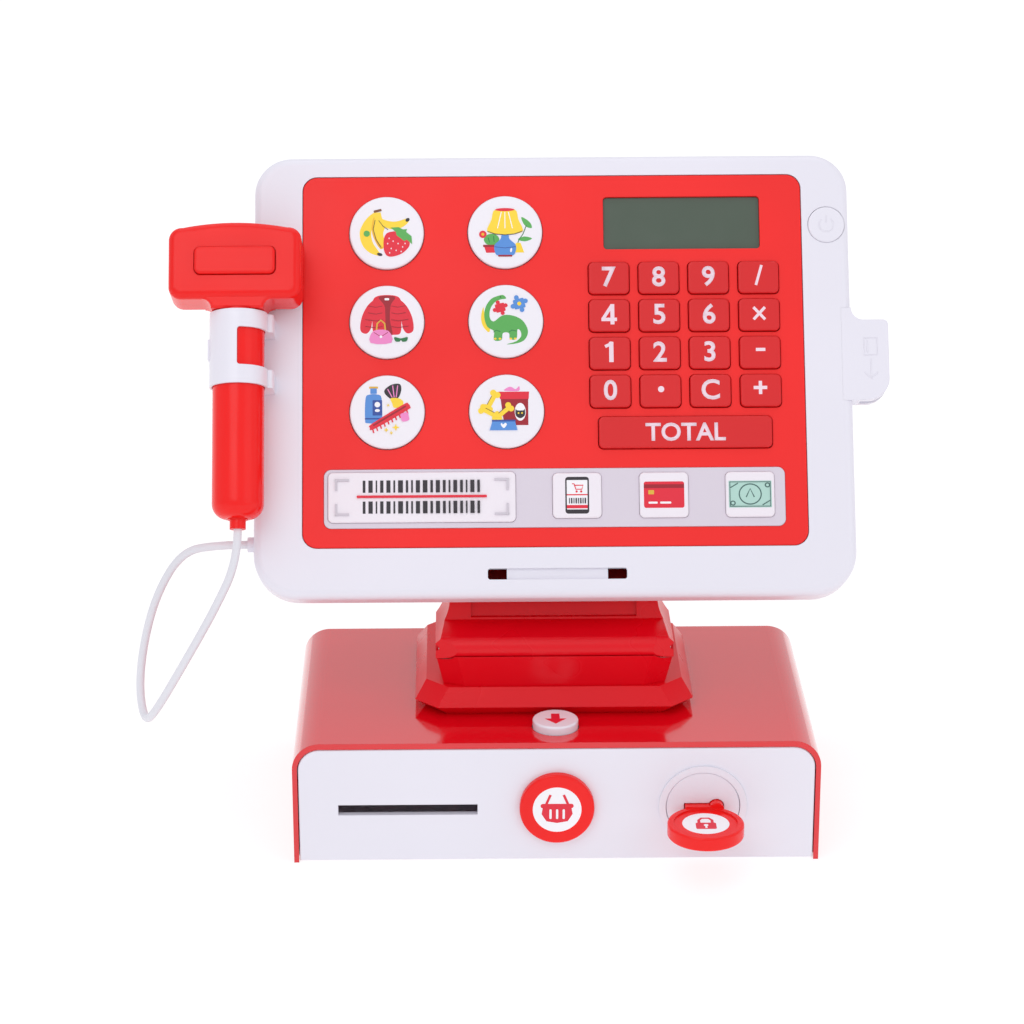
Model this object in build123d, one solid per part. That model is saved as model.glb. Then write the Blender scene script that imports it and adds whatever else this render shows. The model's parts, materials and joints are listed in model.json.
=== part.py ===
from build123d import *
import os
from math import radians, tan

# Toy cash register: a low drawer base, an octagonal stand with a tilt hinge, a leaning
# key tablet, and a hand scanner in a holster on the tablet's left side.
# Millimetres. +Z is up, the front is -Y, and the origin is the centre of the base's
# footprint on the table.

# ---- driving dimensions -------------------------------------------------------------
GAP = 0.3                  # running gap between pieces that move against each other
PAD_GAP = 0.12             # the pads and the power button fit more closely
WALL = 2.2                 # moulded wall

BASE_W, BASE_D, BASE_TOP = 208.0, 121.0, 51.3
BASE_WALL, BASE_ROOF = 2.0, 2.4
BASE_CORNER = 11.0         # outer radius of the two long top edges
FOOT_H, FOOT_R = 1.2, 7.0
FLOOR_TOP = 4.2

FRONT_T = 3.0              # drawer front panel
TRAY_W, TRAY_BACK, TRAY_H = 182.0, 24.0, 40.0
TRAY_FLOOR = 8.3           # top of the tray's floor
LOCK_X, LOCK_Z, LOCK_R = 57.8, 23.6, 14.5
SLOT_X, SLOT_W, SLOT_Z, SLOT_H = -58.6, 55.0, 22.7, 4.4
BADGE_R, BADGE_T = 14.75, 3.0
RELEASE_Y, RELEASE_R, RELEASE_TOP = -44.6, 9.1, 54.7
KEY_BOW_R, KEY_BOW_T = 15.0, 5.0

COLLAR_TOP, COLLAR_RIM = 62.5, 55.5
COLLAR_X, COLLAR_FRONT, COLLAR_BACK = 55.7, -35.5, 48.5
COLLAR_CUT, COLLAR_SLOPE, COLLAR_UNDER = 9.0, 4.5, 4.0

HINGE_Y, HINGE_Z, BARREL_R, PIN_R = -30.0, 79.5, 4.5, 1.5
NECK_HALF, NECK_WAIST, RIB_W = 47.3, 41.5, 8.4
KNUCKLE_X, KNUCKLE_W = 24.0, 8.0

LEAN = 30.0                # the tablet leans back this far from upright
TAB_Y, TAB_Z = 14.5, 184.8  # centre of the key panel's face
TAB_LEFT, TAB_RIGHT, TAB_LOW, TAB_HIGH = -119.1, 119.7, -95.8, 84.3
TAB_T, SHELL_T = 20.0, 8.0  # whole thickness, and the red back shell's share of it
PANEL_W, PANEL_H, PANEL_T = 200.4, 151.5, 2.6
KEY_TRAVEL = 1.2
KEY_PROUD, PAD_PROUD, POWER_PROUD = 1.6, 1.4, 0.5   # how far the caps stand out
RIM_TOP, RIM_FOOT = 0.3, 1.5                        # the hidden rim, below the opening
STEM_R, STEM_GAP = 3.0, 0.3
REACH = 60.0               # longer than anything that a cutting block has to pass

SCAN_U, SCAN_W, HANDLE_R = -124.3, 13.0, 10.25
HEAD_U, HEAD_V, HEAD_W, HEAD_H, HEAD_T = -125.3, 35.9, 52.4, 31.0, 23.0
HEAD_CORNER, HEAD_CROWN, HEAD_EDGE, THROAT, THROAT_IN = 5.0, 2.0, 3.0, 3.7, 1.1
SHOULDER_IN, SHOULDER_DROP = 1.6, 1.4
HANDLE_LOW = -66.0
STRAP_RIGHT, GAP_LEFT, GAP_V, GAP_H = -110.6, -124.2, 1.4, 15.2
HOLSTER_LOW, HOLSTER_HIGH, HOLSTER_R = -13.5, 16.3, 11.5

CORD_R = 1.65
GLAND_V, GLAND_W, GLAND_L = -73.0, -6.5, 2.5
CORD_POINTS = [
    (-124.3, -31.8, 130.7),
    (-124.3, -38.0, 119.9),
    (-134.0, -39.5, 99.5),
    (-147.5, -39.0, 75.5),
    (-159.5, -35.5, 54.0),
    (-165.0, -23.0, 45.0),
    (-168.0, -10.5, 55.0),
    (-165.0, -9.5, 76.0),
    (-158.5, -10.5, 97.0),
    (-148.0, -13.5, 114.5),
    (-134.5, -16.37, 118.33),
    (-121.6, -16.37, 118.33),
]

PANEL = Plane(
    origin=(0, TAB_Y, TAB_Z),
    x_dir=(1, 0, 0),
    z_dir=Vector(0, -1, 0).rotate(Axis.X, -LEAN),
)


# ---- helpers ------------------------------------------------------------------------
def slab(x0, x1, y0, y1, z0, z1):
    """A box between two opposite corners."""
    return Pos((x0 + x1) / 2, (y0 + y1) / 2, (z0 + z1) / 2) * Box(x1 - x0, y1 - y0, z1 - z0)


def disc(x, y, z0, z1, radius):
    """An upright cylinder from z0 to z1."""
    return Pos(x, y, (z0 + z1) / 2) * Cylinder(radius, z1 - z0)


def rod_x(x0, x1, y, z, radius):
    return Pos((x0 + x1) / 2, y, z) * Rot(0, 90, 0) * Cylinder(radius, x1 - x0)


def rod_y(x, y0, y1, z, radius):
    return Pos(x, (y0 + y1) / 2, z) * Rot(90, 0, 0) * Cylinder(radius, y1 - y0)


def plate(u, v, w0, w1, width, height, radius):
    """A flat plate with round corners, in the tablet's own u, v, w."""
    return Pos(u, v, w0) * extrude(RectangleRounded(width, height, radius), w1 - w0)


def prism_x(half_width, points):
    """A profile in the YZ plane, stretched along X to both sides."""
    outline = Polyline(*[(0, y, z) for y, z in points], close=True)
    return extrude(make_face(outline), half_width, dir=(1, 0, 0), both=True)


def soften(shape, radius, axis=Axis.Z, end=-1):
    """Round the rim of the shape's end face along an axis."""
    return fillet(shape.faces().sort_by(axis)[end].edges(), radius)


def octagon(half_x, front, back, cut, z):
    """A rectangle with its four corners cut off, lying at height z."""
    corners = [
        (-half_x + cut, front), (half_x - cut, front),
        (half_x, front + cut), (half_x, back - cut),
        (half_x - cut, back), (-half_x + cut, back),
        (-half_x, back - cut), (-half_x, front + cut),
    ]
    return make_face(Polyline(*[(x, y, z) for x, y in corners], close=True))


def write(node, shape):
    shape.label = node
    export_step(shape, f"parts/{node}.step")


def write_on_tablet(node, shape):
    write(node, PANEL.location * shape)


# ---- base ---------------------------------------------------------------------------
BOSS_SPOTS = [(x, y) for x in (-96.3, 96.3) for y in (-50.0, 54.0)]
BAY_X, BAY_Y0, BAY_Y1 = 79.0, 29.0, 47.0      # battery bay in the floor
BATTERY_R, BATTERY_L = 7.2, 50.5


def arch(half_x, top, corner, y0, y1, z0):
    """A block whose two long top edges are round."""
    block = slab(-half_x, half_x, y0, y1, z0, top)
    edges = block.edges().filter_by(Axis.Y).group_by(Axis.Z)[-1]
    return fillet(edges, corner)


def base_cover():
    half, back = BASE_W / 2, BASE_D / 2
    outer = arch(half, BASE_TOP, BASE_CORNER, -back, back, 0)
    outer = fillet(outer.faces().sort_by(Axis.Y)[-1].edges().sort_by(Axis.Z)[1:], 2.0)
    inner = arch(
        half - BASE_WALL, BASE_TOP - BASE_ROOF, BASE_CORNER - BASE_WALL,
        -back - 1, back - BASE_WALL, -1,
    )
    cover = outer - inner
    for x, y in BOSS_SPOTS:
        cover += disc(x, y, FLOOR_TOP, BASE_TOP - 4, 3.8)
        cover -= disc(x, y, FLOOR_TOP - 1, FLOOR_TOP + 12, 1.45)
    # The strike hangs from the roof in front of the lock's cam.
    cover += slab(LOCK_X - 8, LOCK_X + 8, -48.0, -46.0, 42.6, BASE_TOP - 1)
    cover -= disc(0, RELEASE_Y, BASE_TOP - 5, BASE_TOP + 1, RELEASE_R + GAP)
    return cover


def base_floor():
    half, back = BASE_W / 2 - BASE_WALL - 0.1, BASE_D / 2 - BASE_WALL - 0.1
    floor = slab(-half, half, -BASE_D / 2 + FRONT_T + 0.5, back, FOOT_H, FLOOR_TOP)
    for x in (-70, 70):
        floor += slab(x - 2, x + 2, -55, TRAY_BACK, FLOOR_TOP, TRAY_FLOOR - 2.4)
    # Walls round the battery bay.
    floor += slab(-BAY_X - 2, BAY_X + 2, BAY_Y0 - 2, BAY_Y1 + 2, FLOOR_TOP, 21)
    floor -= slab(-BAY_X, BAY_X, BAY_Y0, BAY_Y1, FOOT_H + 1.8, 22)
    floor -= slab(-BAY_X + 1.5, BAY_X - 1.5, BAY_Y0 + 1.5, BAY_Y1 - 1.5, 0, FLOOR_TOP)
    for x, y in BOSS_SPOTS:
        floor -= disc(x, y, FOOT_H - 1, FOOT_H + 1.6, 3.1)
        floor -= disc(x, y, 0, FLOOR_TOP + 1, 1.6)
    return floor


def rubber_feet():
    spots = [(x, y) for x in (-86, 86) for y in (-46, 50)]
    return Compound([soften(disc(x, y, 0, FOOT_H, FOOT_R), 0.4, end=0) for x, y in spots])


def screw(head_r, head_h, shank_r, length):
    """A pan-head screw standing on its head, with a cross slot in it."""
    body = disc(0, 0, 0, head_h, head_r) + disc(0, 0, head_h, length, shank_r)
    body -= slab(-1.6, 1.6, -0.35, 0.35, -0.1, 0.9)
    return body - slab(-0.35, 0.35, -1.6, 1.6, -0.1, 0.9)


def base_screws():
    one = screw(2.8, 1.4, 1.4, 11.0)
    return Compound([Pos(x, y, FOOT_H + 0.2) * one for x, y in BOSS_SPOTS])


def battery_door():
    door = slab(
        -BAY_X + 1.7, BAY_X - 1.7, BAY_Y0 + 1.7, BAY_Y1 - 1.7, FOOT_H, FOOT_H + 1.8,
    )
    return door - slab(-6, 6, BAY_Y1 - 5.0, BAY_Y1 - 3.2, FOOT_H - 1, FOOT_H + 0.8)


def batteries():
    cells = []
    for i in (-1, 0, 1):
        x = i * (BATTERY_L + 1.2)
        y, z = (BAY_Y0 + BAY_Y1) / 2, FOOT_H + 2.0 + BATTERY_R
        cell = rod_x(x - BATTERY_L / 2, x + BATTERY_L / 2 - 1.5, y, z, BATTERY_R)
        cells.append(cell + rod_x(x + BATTERY_L / 2 - 2, x + BATTERY_L / 2, y, z, 2.7))
    return Compound(cells)


def release_button():
    cap = disc(0, RELEASE_Y, 44.5, RELEASE_TOP, RELEASE_R)
    cap = soften(cap, 0.8)
    cap += disc(0, RELEASE_Y, 46.3, BASE_TOP - BASE_ROOF - 0.6, RELEASE_R + 2.2)
    return cap - disc(0, RELEASE_Y, 43, 52.5, RELEASE_R - 2.0)


# ---- drawer -------------------------------------------------------------------------
FRONT_FACE = -BASE_D / 2
FRONT_BACK = FRONT_FACE + FRONT_T
KEYHOLE_LEFT, KEYHOLE_RIGHT = LOCK_X - 7.2, LOCK_X + 5.2
CAM_Y = -46.0


def drawer_front():
    half = BASE_W / 2 - BASE_WALL - GAP
    top = BASE_TOP - BASE_ROOF - GAP
    front = arch(half, top, BASE_CORNER - BASE_WALL - GAP, FRONT_FACE, FRONT_BACK, 0.8)
    front = soften(front, 0.7, Axis.Y, 0)
    # A raised ring stands round the lock.
    front += rod_y(LOCK_X, FRONT_FACE - 0.8, FRONT_BACK, LOCK_Z, 17.4)
    front -= rod_y(LOCK_X, FRONT_FACE - 2, FRONT_BACK + 1, LOCK_Z, LOCK_R + 0.15)
    return front - slab(
        SLOT_X - SLOT_W / 2, SLOT_X + SLOT_W / 2, FRONT_FACE - 1, FRONT_BACK + 1,
        SLOT_Z - SLOT_H / 2, SLOT_Z + SLOT_H / 2,
    )


POCKET_MID_Y = -19.0
POCKET_RIB_X = 30.0
LOCK_BAY_Y = -37.0


def drawer_tray():
    half = TRAY_W / 2
    tray = slab(-half, half, FRONT_BACK, TRAY_BACK, TRAY_FLOOR - 2, TRAY_H)
    tray -= slab(-half + 2, half - 2, FRONT_BACK - 1, TRAY_BACK - 2, TRAY_FLOOR, TRAY_H + 1)
    rib_top = TRAY_H - 6
    tray += slab(-half + 1, half - 1, POCKET_MID_Y - 1, POCKET_MID_Y + 1, TRAY_FLOOR - 1, rib_top)
    for x in (-POCKET_RIB_X, POCKET_RIB_X):
        tray += slab(x - 1, x + 1, FRONT_BACK, POCKET_MID_Y, TRAY_FLOOR - 1, rib_top)
    tray += slab(-1, 1, POCKET_MID_Y, TRAY_BACK - 1, TRAY_FLOOR - 1, rib_top)
    return tray + slab(
        POCKET_RIB_X, half - 1, LOCK_BAY_Y - 1, LOCK_BAY_Y + 1, TRAY_FLOOR - 1, rib_top
    )


def drawer_badge():
    badge = rod_y(0.2, FRONT_FACE - BADGE_T, FRONT_FACE, 23.8, BADGE_R)
    return soften(badge, 0.9, Axis.Y, 0)


def keyhole(grow, y0, y1):
    """The key's own profile, grown all round by a clearance."""
    bit = slab(
        KEYHOLE_LEFT - grow, KEYHOLE_RIGHT, y0, y1, LOCK_Z - 1.15 - grow, LOCK_Z + 1.15 + grow
    )
    return bit + rod_y(KEYHOLE_RIGHT, y0, y1, LOCK_Z, 2.9 + grow)


def lock_plug():
    plug = rod_y(LOCK_X, FRONT_FACE - 0.5, CAM_Y, LOCK_Z, LOCK_R)
    plug = soften(plug, 0.4, Axis.Y, 0)
    return plug - keyhole(GAP, FRONT_FACE - 2, CAM_Y - 2)


def lock_cam():
    arm = slab(LOCK_X - 5, LOCK_X + 22.4, CAM_Y, CAM_Y + 2.2, LOCK_Z - 5, LOCK_Z + 5)
    arm = fillet(arm.edges().filter_by(Axis.Y), 4.5)
    return arm + rod_y(LOCK_X, CAM_Y, CAM_Y + 4, LOCK_Z, 4)


def drawer_key():
    y = FRONT_FACE - 0.5 - 0.6 - KEY_BOW_R
    x = (KEYHOLE_LEFT + KEYHOLE_RIGHT) / 2 + 1
    bow = disc(x, y, LOCK_Z - KEY_BOW_T, LOCK_Z + 0.6, KEY_BOW_R)
    bow = fillet(bow.edges().filter_by(GeomType.CIRCLE), 0.9)
    bow -= disc(x, y, LOCK_Z, LOCK_Z + 2, KEY_BOW_R - 2.6)
    return bow + keyhole(0, y + KEY_BOW_R - 2.5, CAM_Y - 2.6)


# ---- stand --------------------------------------------------------------------------
def collar_block(inset, rise):
    """The octagonal stand, undercut below its rim and sloping in above it."""
    low, rim, top = BASE_TOP, COLLAR_RIM, COLLAR_TOP - rise
    foot_in, top_in = inset + COLLAR_UNDER, inset + COLLAR_SLOPE
    faces = []
    for z, step in ((low - (1 if rise else 0), foot_in), (rim, inset), (top, top_in)):
        faces.append(octagon(
            COLLAR_X - step, COLLAR_FRONT + step, COLLAR_BACK - step, COLLAR_CUT, z,
        ))
    return loft(faces[:2], ruled=True) + loft(faces[1:], ruled=True)


def stand_collar():
    return collar_block(0, 0) - collar_block(WALL, WALL)


TURRET_HALF, TURRET_BACK, TURRET_TOP = 44.3, 14.0, 77.0
FACET_X, FACET_Y = 8.5, 3.5
TILT_BACK = 15.0


def turret_outline(half_x, front, back, z):
    corners = [
        (-half_x + FACET_X, front), (half_x - FACET_X, front), (half_x, front + FACET_Y),
        (half_x, back), (-half_x, back), (-half_x, front + FACET_Y),
    ]
    return make_face(Polyline(*[(x, y, z) for x, y in corners], close=True))


def hinge_turret():
    block = loft([
        turret_outline(TURRET_HALF, -30.0, TURRET_BACK, COLLAR_TOP),
        turret_outline(NECK_HALF, HINGE_Y - BARREL_R, TURRET_BACK + 1, TURRET_TOP),
    ], ruled=True)
    # The top falls away behind the hinge, which leaves room for the tablet to lean back.
    fall = tan(radians(TILT_BACK + 2)) * (TURRET_BACK + 2 - HINGE_Y)
    top = HINGE_Z - BARREL_R
    block -= prism_x(60, [
        (HINGE_Y, top), (TURRET_BACK + 2, top - fall), (TURRET_BACK + 2, 90), (HINGE_Y, 90),
    ])
    block -= slab(-TURRET_HALF + 4, TURRET_HALF - 4, -26, 2, COLLAR_TOP - 1, 65.5)
    block -= rod_x(-60, 60, HINGE_Y, HINGE_Z, BARREL_R + GAP)
    block -= slab(-60, 60, HINGE_Y - 8, HINGE_Y, HINGE_Z - 2.6, 90)
    for x in (-KNUCKLE_X, KNUCKLE_X):
        x0, x1 = x - KNUCKLE_W / 2, x + KNUCKLE_W / 2
        block += rod_x(x0, x1, HINGE_Y, HINGE_Z, BARREL_R - 1.3)
        block += slab(x0, x1, HINGE_Y - 2, HINGE_Y + 2, 72, HINGE_Z)
    return block - rod_x(-60, 60, HINGE_Y, HINGE_Z, PIN_R + 0.03)


def hinge_pin():
    """A plain pin whose ends stay inside the barrel."""
    half = NECK_HALF - 1.2
    return rod_x(-half, half, HINGE_Y, HINGE_Z, PIN_R)


def on_back(v, w):
    """Row y and z of a point behind the tablet, given by its v and w."""
    spot = PANEL.location * Pos(0, v, w)
    return spot.position.Y, spot.position.Z


def neck():
    under = HINGE_Z - BARREL_R
    shape = prism_x(NECK_HALF, [
        (HINGE_Y, under), (HINGE_Y + 10, under + 1.2), (-3.0, under + 1.4), (6.0, 85.0),
        on_back(-45, -29), on_back(-45, -TAB_T), on_back(-91.5, -TAB_T),
        (-17.6, 86.2), (HINGE_Y, HINGE_Z + BARREL_R),
    ])
    shape += rod_x(-NECK_HALF, NECK_HALF, HINGE_Y, HINGE_Z, BARREL_R)
    # Seen from the front the sides curve in from the wide lip to the narrow waist.
    curve = NECK_HALF - NECK_WAIST
    flare_top = 94.0
    for side in (-1, 1):
        edge = Polyline(
            (side * NECK_WAIST, 0, 140), (side * 60, 0, 140), (side * 60, 0, HINGE_Z + 2),
            (side * NECK_HALF, 0, HINGE_Z + 2),
        )
        bend = ThreePointArc(
            (side * NECK_HALF, 0, HINGE_Z + 2),
            (side * (NECK_WAIST + 0.3 * curve), 0, (HINGE_Z + 2) * 0.55 + flare_top * 0.45),
            (side * NECK_WAIST, 0, flare_top),
        )
        rise = Line((side * NECK_WAIST, 0, flare_top), (side * NECK_WAIST, 0, 140))
        shape -= extrude(make_face(edge + bend + rise), 80, dir=(0, 1, 0), both=True)
        corner = Polyline(
            (side * (NECK_HALF - FACET_X), HINGE_Y - BARREL_R, 60),
            (side * NECK_HALF, HINGE_Y - BARREL_R + FACET_Y, 60),
            (side * 60, HINGE_Y - BARREL_R + FACET_Y, 60),
            (side * 60, HINGE_Y - 10, 60), (side * (NECK_HALF - FACET_X), HINGE_Y - 10, 60),
            close=True,
        )
        shape -= extrude(make_face(corner), 60, dir=(0, 0, 1))
    # A pocket under the tablet keeps the walls thin.
    shape -= prism_x(NECK_WAIST - 3, [
        (-13.8, 79.5), (-4.0, 79.5), (3.0, 87.0), on_back(-48, -26.5),
        on_back(-48, -TAB_T + 1), on_back(-84, -TAB_T + 1),
    ])
    # The front is sunk between two upright ribs.
    shape -= prism_x(NECK_WAIST - RIB_W, [
        (-22.0, 87.0), (-15.7, 87.0), (-12.3, 95.6), (-12.3, 98.0), (-22.0, 98.0),
    ])
    for x in (-KNUCKLE_X, KNUCKLE_X):
        x0, x1 = x - KNUCKLE_W / 2 - GAP, x + KNUCKLE_W / 2 + GAP
        shape -= rod_x(x0, x1, HINGE_Y, HINGE_Z, BARREL_R - 1.0)
        shape -= slab(x0, x1, HINGE_Y - 3.5, HINGE_Y + 3.6, 70, HINGE_Z)
    return shape - rod_x(-60, 60, HINGE_Y, HINGE_Z, PIN_R + 0.06)


# ---- tablet -------------------------------------------------------------------------
TAB_U = (TAB_LEFT + TAB_RIGHT) / 2
SCREW_SPOTS = [(TAB_U + x, v) for x in (-108, 108) for v in (73.0, -83.5)]
POWER_U, POWER_V, POWER_R = 110.7, 54.7, 7.35
CARD_U, CARD_V, CARD_W, CARD_H = 1.1, -86.4, 55.0, 4.4
TONGUE_HALF, TONGUE_DROP = 20.0, 1.3          # the closed floor in the middle of the slot
READER_V0, READER_V1, READER_RIGHT = -17.3, 15.5, 134.4
READER_SLOT, READER_LIP = 4.4, 3.0
READER_LAP, FLARE_R = 4.0, 5.0

STRIP_U, STRIP_V, STRIP_W, STRIP_H, STRIP_T = 0.3, -56.05, 182.8, 23.7, 1.2
LCD_U, LCD_V, LCD_W, LCD_H = 52.5, 55.95, 62.8, 21.7
PICTURE_R, PICTURE_COLS, PICTURE_ROWS = 14.9, (-65.9, -18.4), (52.25, 15.6, -21.1)
PICTURES = ("fruit", "lamp", "clothes", "toys", "cleaning", "pet_food")
KEY_COLS, KEY_ROWS = (23.0, 42.95, 62.85, 82.9), (33.0, 17.6, 2.2, -13.3)
KEY_W, KEY_H = 16.2, 13.1
KEY_NAMES = (
    ("7", "8", "9", "divide"), ("4", "5", "6", "times"),
    ("1", "2", "3", "minus"), ("0", "point", "clear", "plus"),
)
SUM_U, SUM_V, SUM_W, SUM_H = 52.6, -30.0, 68.9, 12.8
PADS = {
    "barcode_pad": (-52.3, -55.6, 74.4, 20.2),
    "phone_pay_pad": (9.2, -55.3, 19.4, 18.2),
    "card_pay_pad": (43.6, -55.3, 19.4, 18.2),
    "cash_pay_pad": (77.7, -55.3, 19.4, 18.2),
}


def tablet_outline(inset):
    """The tablet's outline, wider rounded at its two lower corners."""
    left, right = TAB_LEFT + inset, TAB_RIGHT - inset
    low, high = TAB_LOW + inset, TAB_HIGH - inset
    shape = Pos((left + right) / 2, (low + high) / 2) * Rectangle(right - left, high - low)
    corners = shape.vertices().sort_by(Axis.Y)
    shape = fillet(corners[2:], 15 - inset)
    return fillet(shape.vertices().sort_by(Axis.Y)[:2], 18 - inset)


def tablet_slice(w0, w1, inset):
    return Pos(0, 0, w0) * extrude(tablet_outline(inset), w1 - w0)


def reader_block():
    """The swipe reader before its slot is cut. Its front laps over the frame's round edge."""
    depth = READER_SLOT + 2 * READER_LIP
    block = slab(TAB_RIGHT, READER_RIGHT, READER_V0, READER_V1, -depth, 0)
    block = fillet(block.edges().filter_by(Axis.Z).group_by(Axis.X)[-1].sort_by(Axis.Y)[0], 9)
    block = fillet(block.edges().filter_by(Axis.Z).group_by(Axis.X)[-1].sort_by(Axis.Y)[-1], 2)
    block += slab(TAB_RIGHT - READER_LAP, TAB_RIGHT, READER_V0, READER_V1, -READER_LIP, 0)
    flare = slab(
        TAB_RIGHT - READER_LAP, TAB_RIGHT + FLARE_R, READER_V1, READER_V1 + FLARE_R,
        -READER_LIP, 0,
    )
    flare -= disc(TAB_RIGHT + FLARE_R, READER_V1 + FLARE_R, -READER_LIP - 1, 1, FLARE_R)
    return block + flare


def tablet_frame():
    back = -TAB_T + SHELL_T
    frame = soften(tablet_slice(back, 0, 0), 3.5)
    frame -= tablet_slice(back - 1, -WALL - 0.6, WALL)
    # The key panel lies in a shallow recess, on a narrow ledge.
    frame += plate(0.5, 0, -PANEL_T - 1.6, -PANEL_T, PANEL_W + 3, PANEL_H + 3, 7)
    frame -= plate(0.5, 0, -PANEL_T, 1, PANEL_W + 0.2, PANEL_H + 0.2, 6)
    frame -= plate(0.5, 0, -PANEL_T - 3, 0, PANEL_W - 5, PANEL_H - 5, 4)
    for u, v in SCREW_SPOTS:
        frame += disc(u, v, back, -WALL, 3.6)
        frame -= disc(u, v, back - 1, -4, 1.45)
    frame -= disc(POWER_U, POWER_V, -6, 1, POWER_R + PAD_GAP)
    frame -= disc(POWER_U, POWER_V, -8, -WALL - 0.6, POWER_R + 0.8)
    frame -= plate(CARD_U, CARD_V, -5, 1, CARD_W, CARD_H, 1.0)
    frame += slab(
        CARD_U - TONGUE_HALF, CARD_U + TONGUE_HALF, CARD_V - CARD_H / 2, CARD_V + CARD_H / 2,
        -WALL - 0.6, -TONGUE_DROP,
    )
    frame -= reader_block()
    frame += Pos(TAB_LEFT - GLAND_L / 2 + 0.5, GLAND_V, GLAND_W) * Rot(0, 90, 0) * Cylinder(
        3.0, GLAND_L + 1.0
    )
    return frame


def tablet_back_shell():
    front = -TAB_T + SHELL_T
    shell = soften(tablet_slice(-TAB_T, front, 0.6), 4.5, end=0)
    shell -= tablet_slice(-TAB_T + WALL, front + 1, 0.6 + WALL)
    for u, v in SCREW_SPOTS:
        shell += disc(u, v, -TAB_T + 1, front, 5.0)
        shell -= disc(u, v, -TAB_T - 1, -TAB_T + 2.2, 3.1)
        shell -= disc(u, v, -TAB_T - 1, front + 1, 1.6)
    for u in (-80, 80):
        for v in (-34, 66):
            shell += disc(u, v, -TAB_T + 1, BOARD_TOP - 1.6, 3.0)
    for k in range(-3, 4):
        shell -= plate(SPEAKER_U, SPEAKER_V + 4.4 * k, -TAB_T - 1, front, 30 - 3 * abs(k), 2.2, 1.05)
    return shell


BOARD_TOP = -8.2
SPEAKER_U, SPEAKER_V, SPEAKER_R = 55.0, 30.0, 18.0


def circuit_board():
    board = plate(0, 0, BOARD_TOP - 1.6, BOARD_TOP, 184, 140, 2)
    board += plate(-40, 20, BOARD_TOP - 3.0, BOARD_TOP - 1.6, 16, 16, 0.5)
    for k in range(4):
        board += plate(-10 + 9 * k, -30, BOARD_TOP - 2.6, BOARD_TOP - 1.6, 4, 6, 0.4)
    return board


def speaker():
    cone = disc(SPEAKER_U, SPEAKER_V, -TAB_T + WALL, -TAB_T + WALL + 3.0, SPEAKER_R)
    return cone + disc(SPEAKER_U, SPEAKER_V, -TAB_T + WALL + 3, -TAB_T + WALL + 5.5, 9)


def tablet_screws():
    one = screw(2.8, 1.4, 1.4, 14.0)
    return Compound([Pos(u, v, -TAB_T + 0.8) * one for u, v in SCREW_SPOTS])


def picture_spots():
    return [(u, v) for v in PICTURE_ROWS for u in PICTURE_COLS]


def face_panel():
    panel = plate(0.5, 0, -PANEL_T, 0, PANEL_W - 0.2, PANEL_H - 0.2, 5.9)
    panel = soften(panel, 0.5)
    for u, v in picture_spots():
        panel -= disc(u, v, -PANEL_T - 1, 1, PICTURE_R + GAP)
    for v in KEY_ROWS:
        for u in KEY_COLS:
            panel -= plate(u, v, -PANEL_T - 1, 1, KEY_W + 2 * GAP, KEY_H + 2 * GAP, 2.2)
    panel -= plate(SUM_U, SUM_V, -PANEL_T - 1, 1, SUM_W + 2 * GAP, SUM_H + 2 * GAP, 2.2)
    panel -= plate(LCD_U, LCD_V, -PANEL_T - 1, 1, LCD_W, LCD_H, 1.5)
    panel -= plate(STRIP_U, STRIP_V, -STRIP_T, 1, STRIP_W + 0.2, STRIP_H + 0.2, 3)
    for u, v, width, height in PADS.values():
        panel -= plate(u, v, -PANEL_T - 1, 1, width + 2 * GAP, height + 2 * GAP, 2.3)
    return panel


def pad_strip():
    strip = plate(STRIP_U, STRIP_V, -STRIP_T, 0.4, STRIP_W, STRIP_H, 2.9)
    strip = soften(strip, 0.35)
    for u, v, width, height in PADS.values():
        strip -= plate(u, v, -PANEL_T, 1, width + 2 * PAD_GAP, height + 2 * PAD_GAP, 2.1)
    return strip


def lcd_display():
    display = plate(LCD_U, LCD_V, -PANEL_T - 2, -PANEL_T, LCD_W + 4, LCD_H + 4, 1)
    return display + plate(LCD_U, LCD_V, -PANEL_T, -1.2, LCD_W - 0.3, LCD_H - 0.3, 1.3)


def round_button(u, v, radius, proud, low, flange):
    """A round cap with a wider rim under the panel and a stem down to the board."""
    foot = low - RIM_FOOT
    cap = soften(disc(u, v, low - RIM_TOP, proud, radius), 0.8)
    cap += disc(u, v, foot, low - RIM_TOP, radius + flange)
    return cap + disc(u, v, BOARD_TOP + KEY_TRAVEL + STEM_GAP, foot, STEM_R)


def block_button(u, v, width, height, proud, low):
    """A rectangular cap with the same rim and stem."""
    foot = low - RIM_FOOT
    cap = soften(plate(u, v, low - RIM_TOP, proud, width, height, 2.0), 0.7)
    cap += plate(u, v, foot, low - RIM_TOP, width + 2, height + 1.4, 2.4)
    stem = BOARD_TOP + KEY_TRAVEL + STEM_GAP
    return cap + plate(u, v, stem, foot, 2 * STEM_R, 2 * STEM_R, 1)


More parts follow.
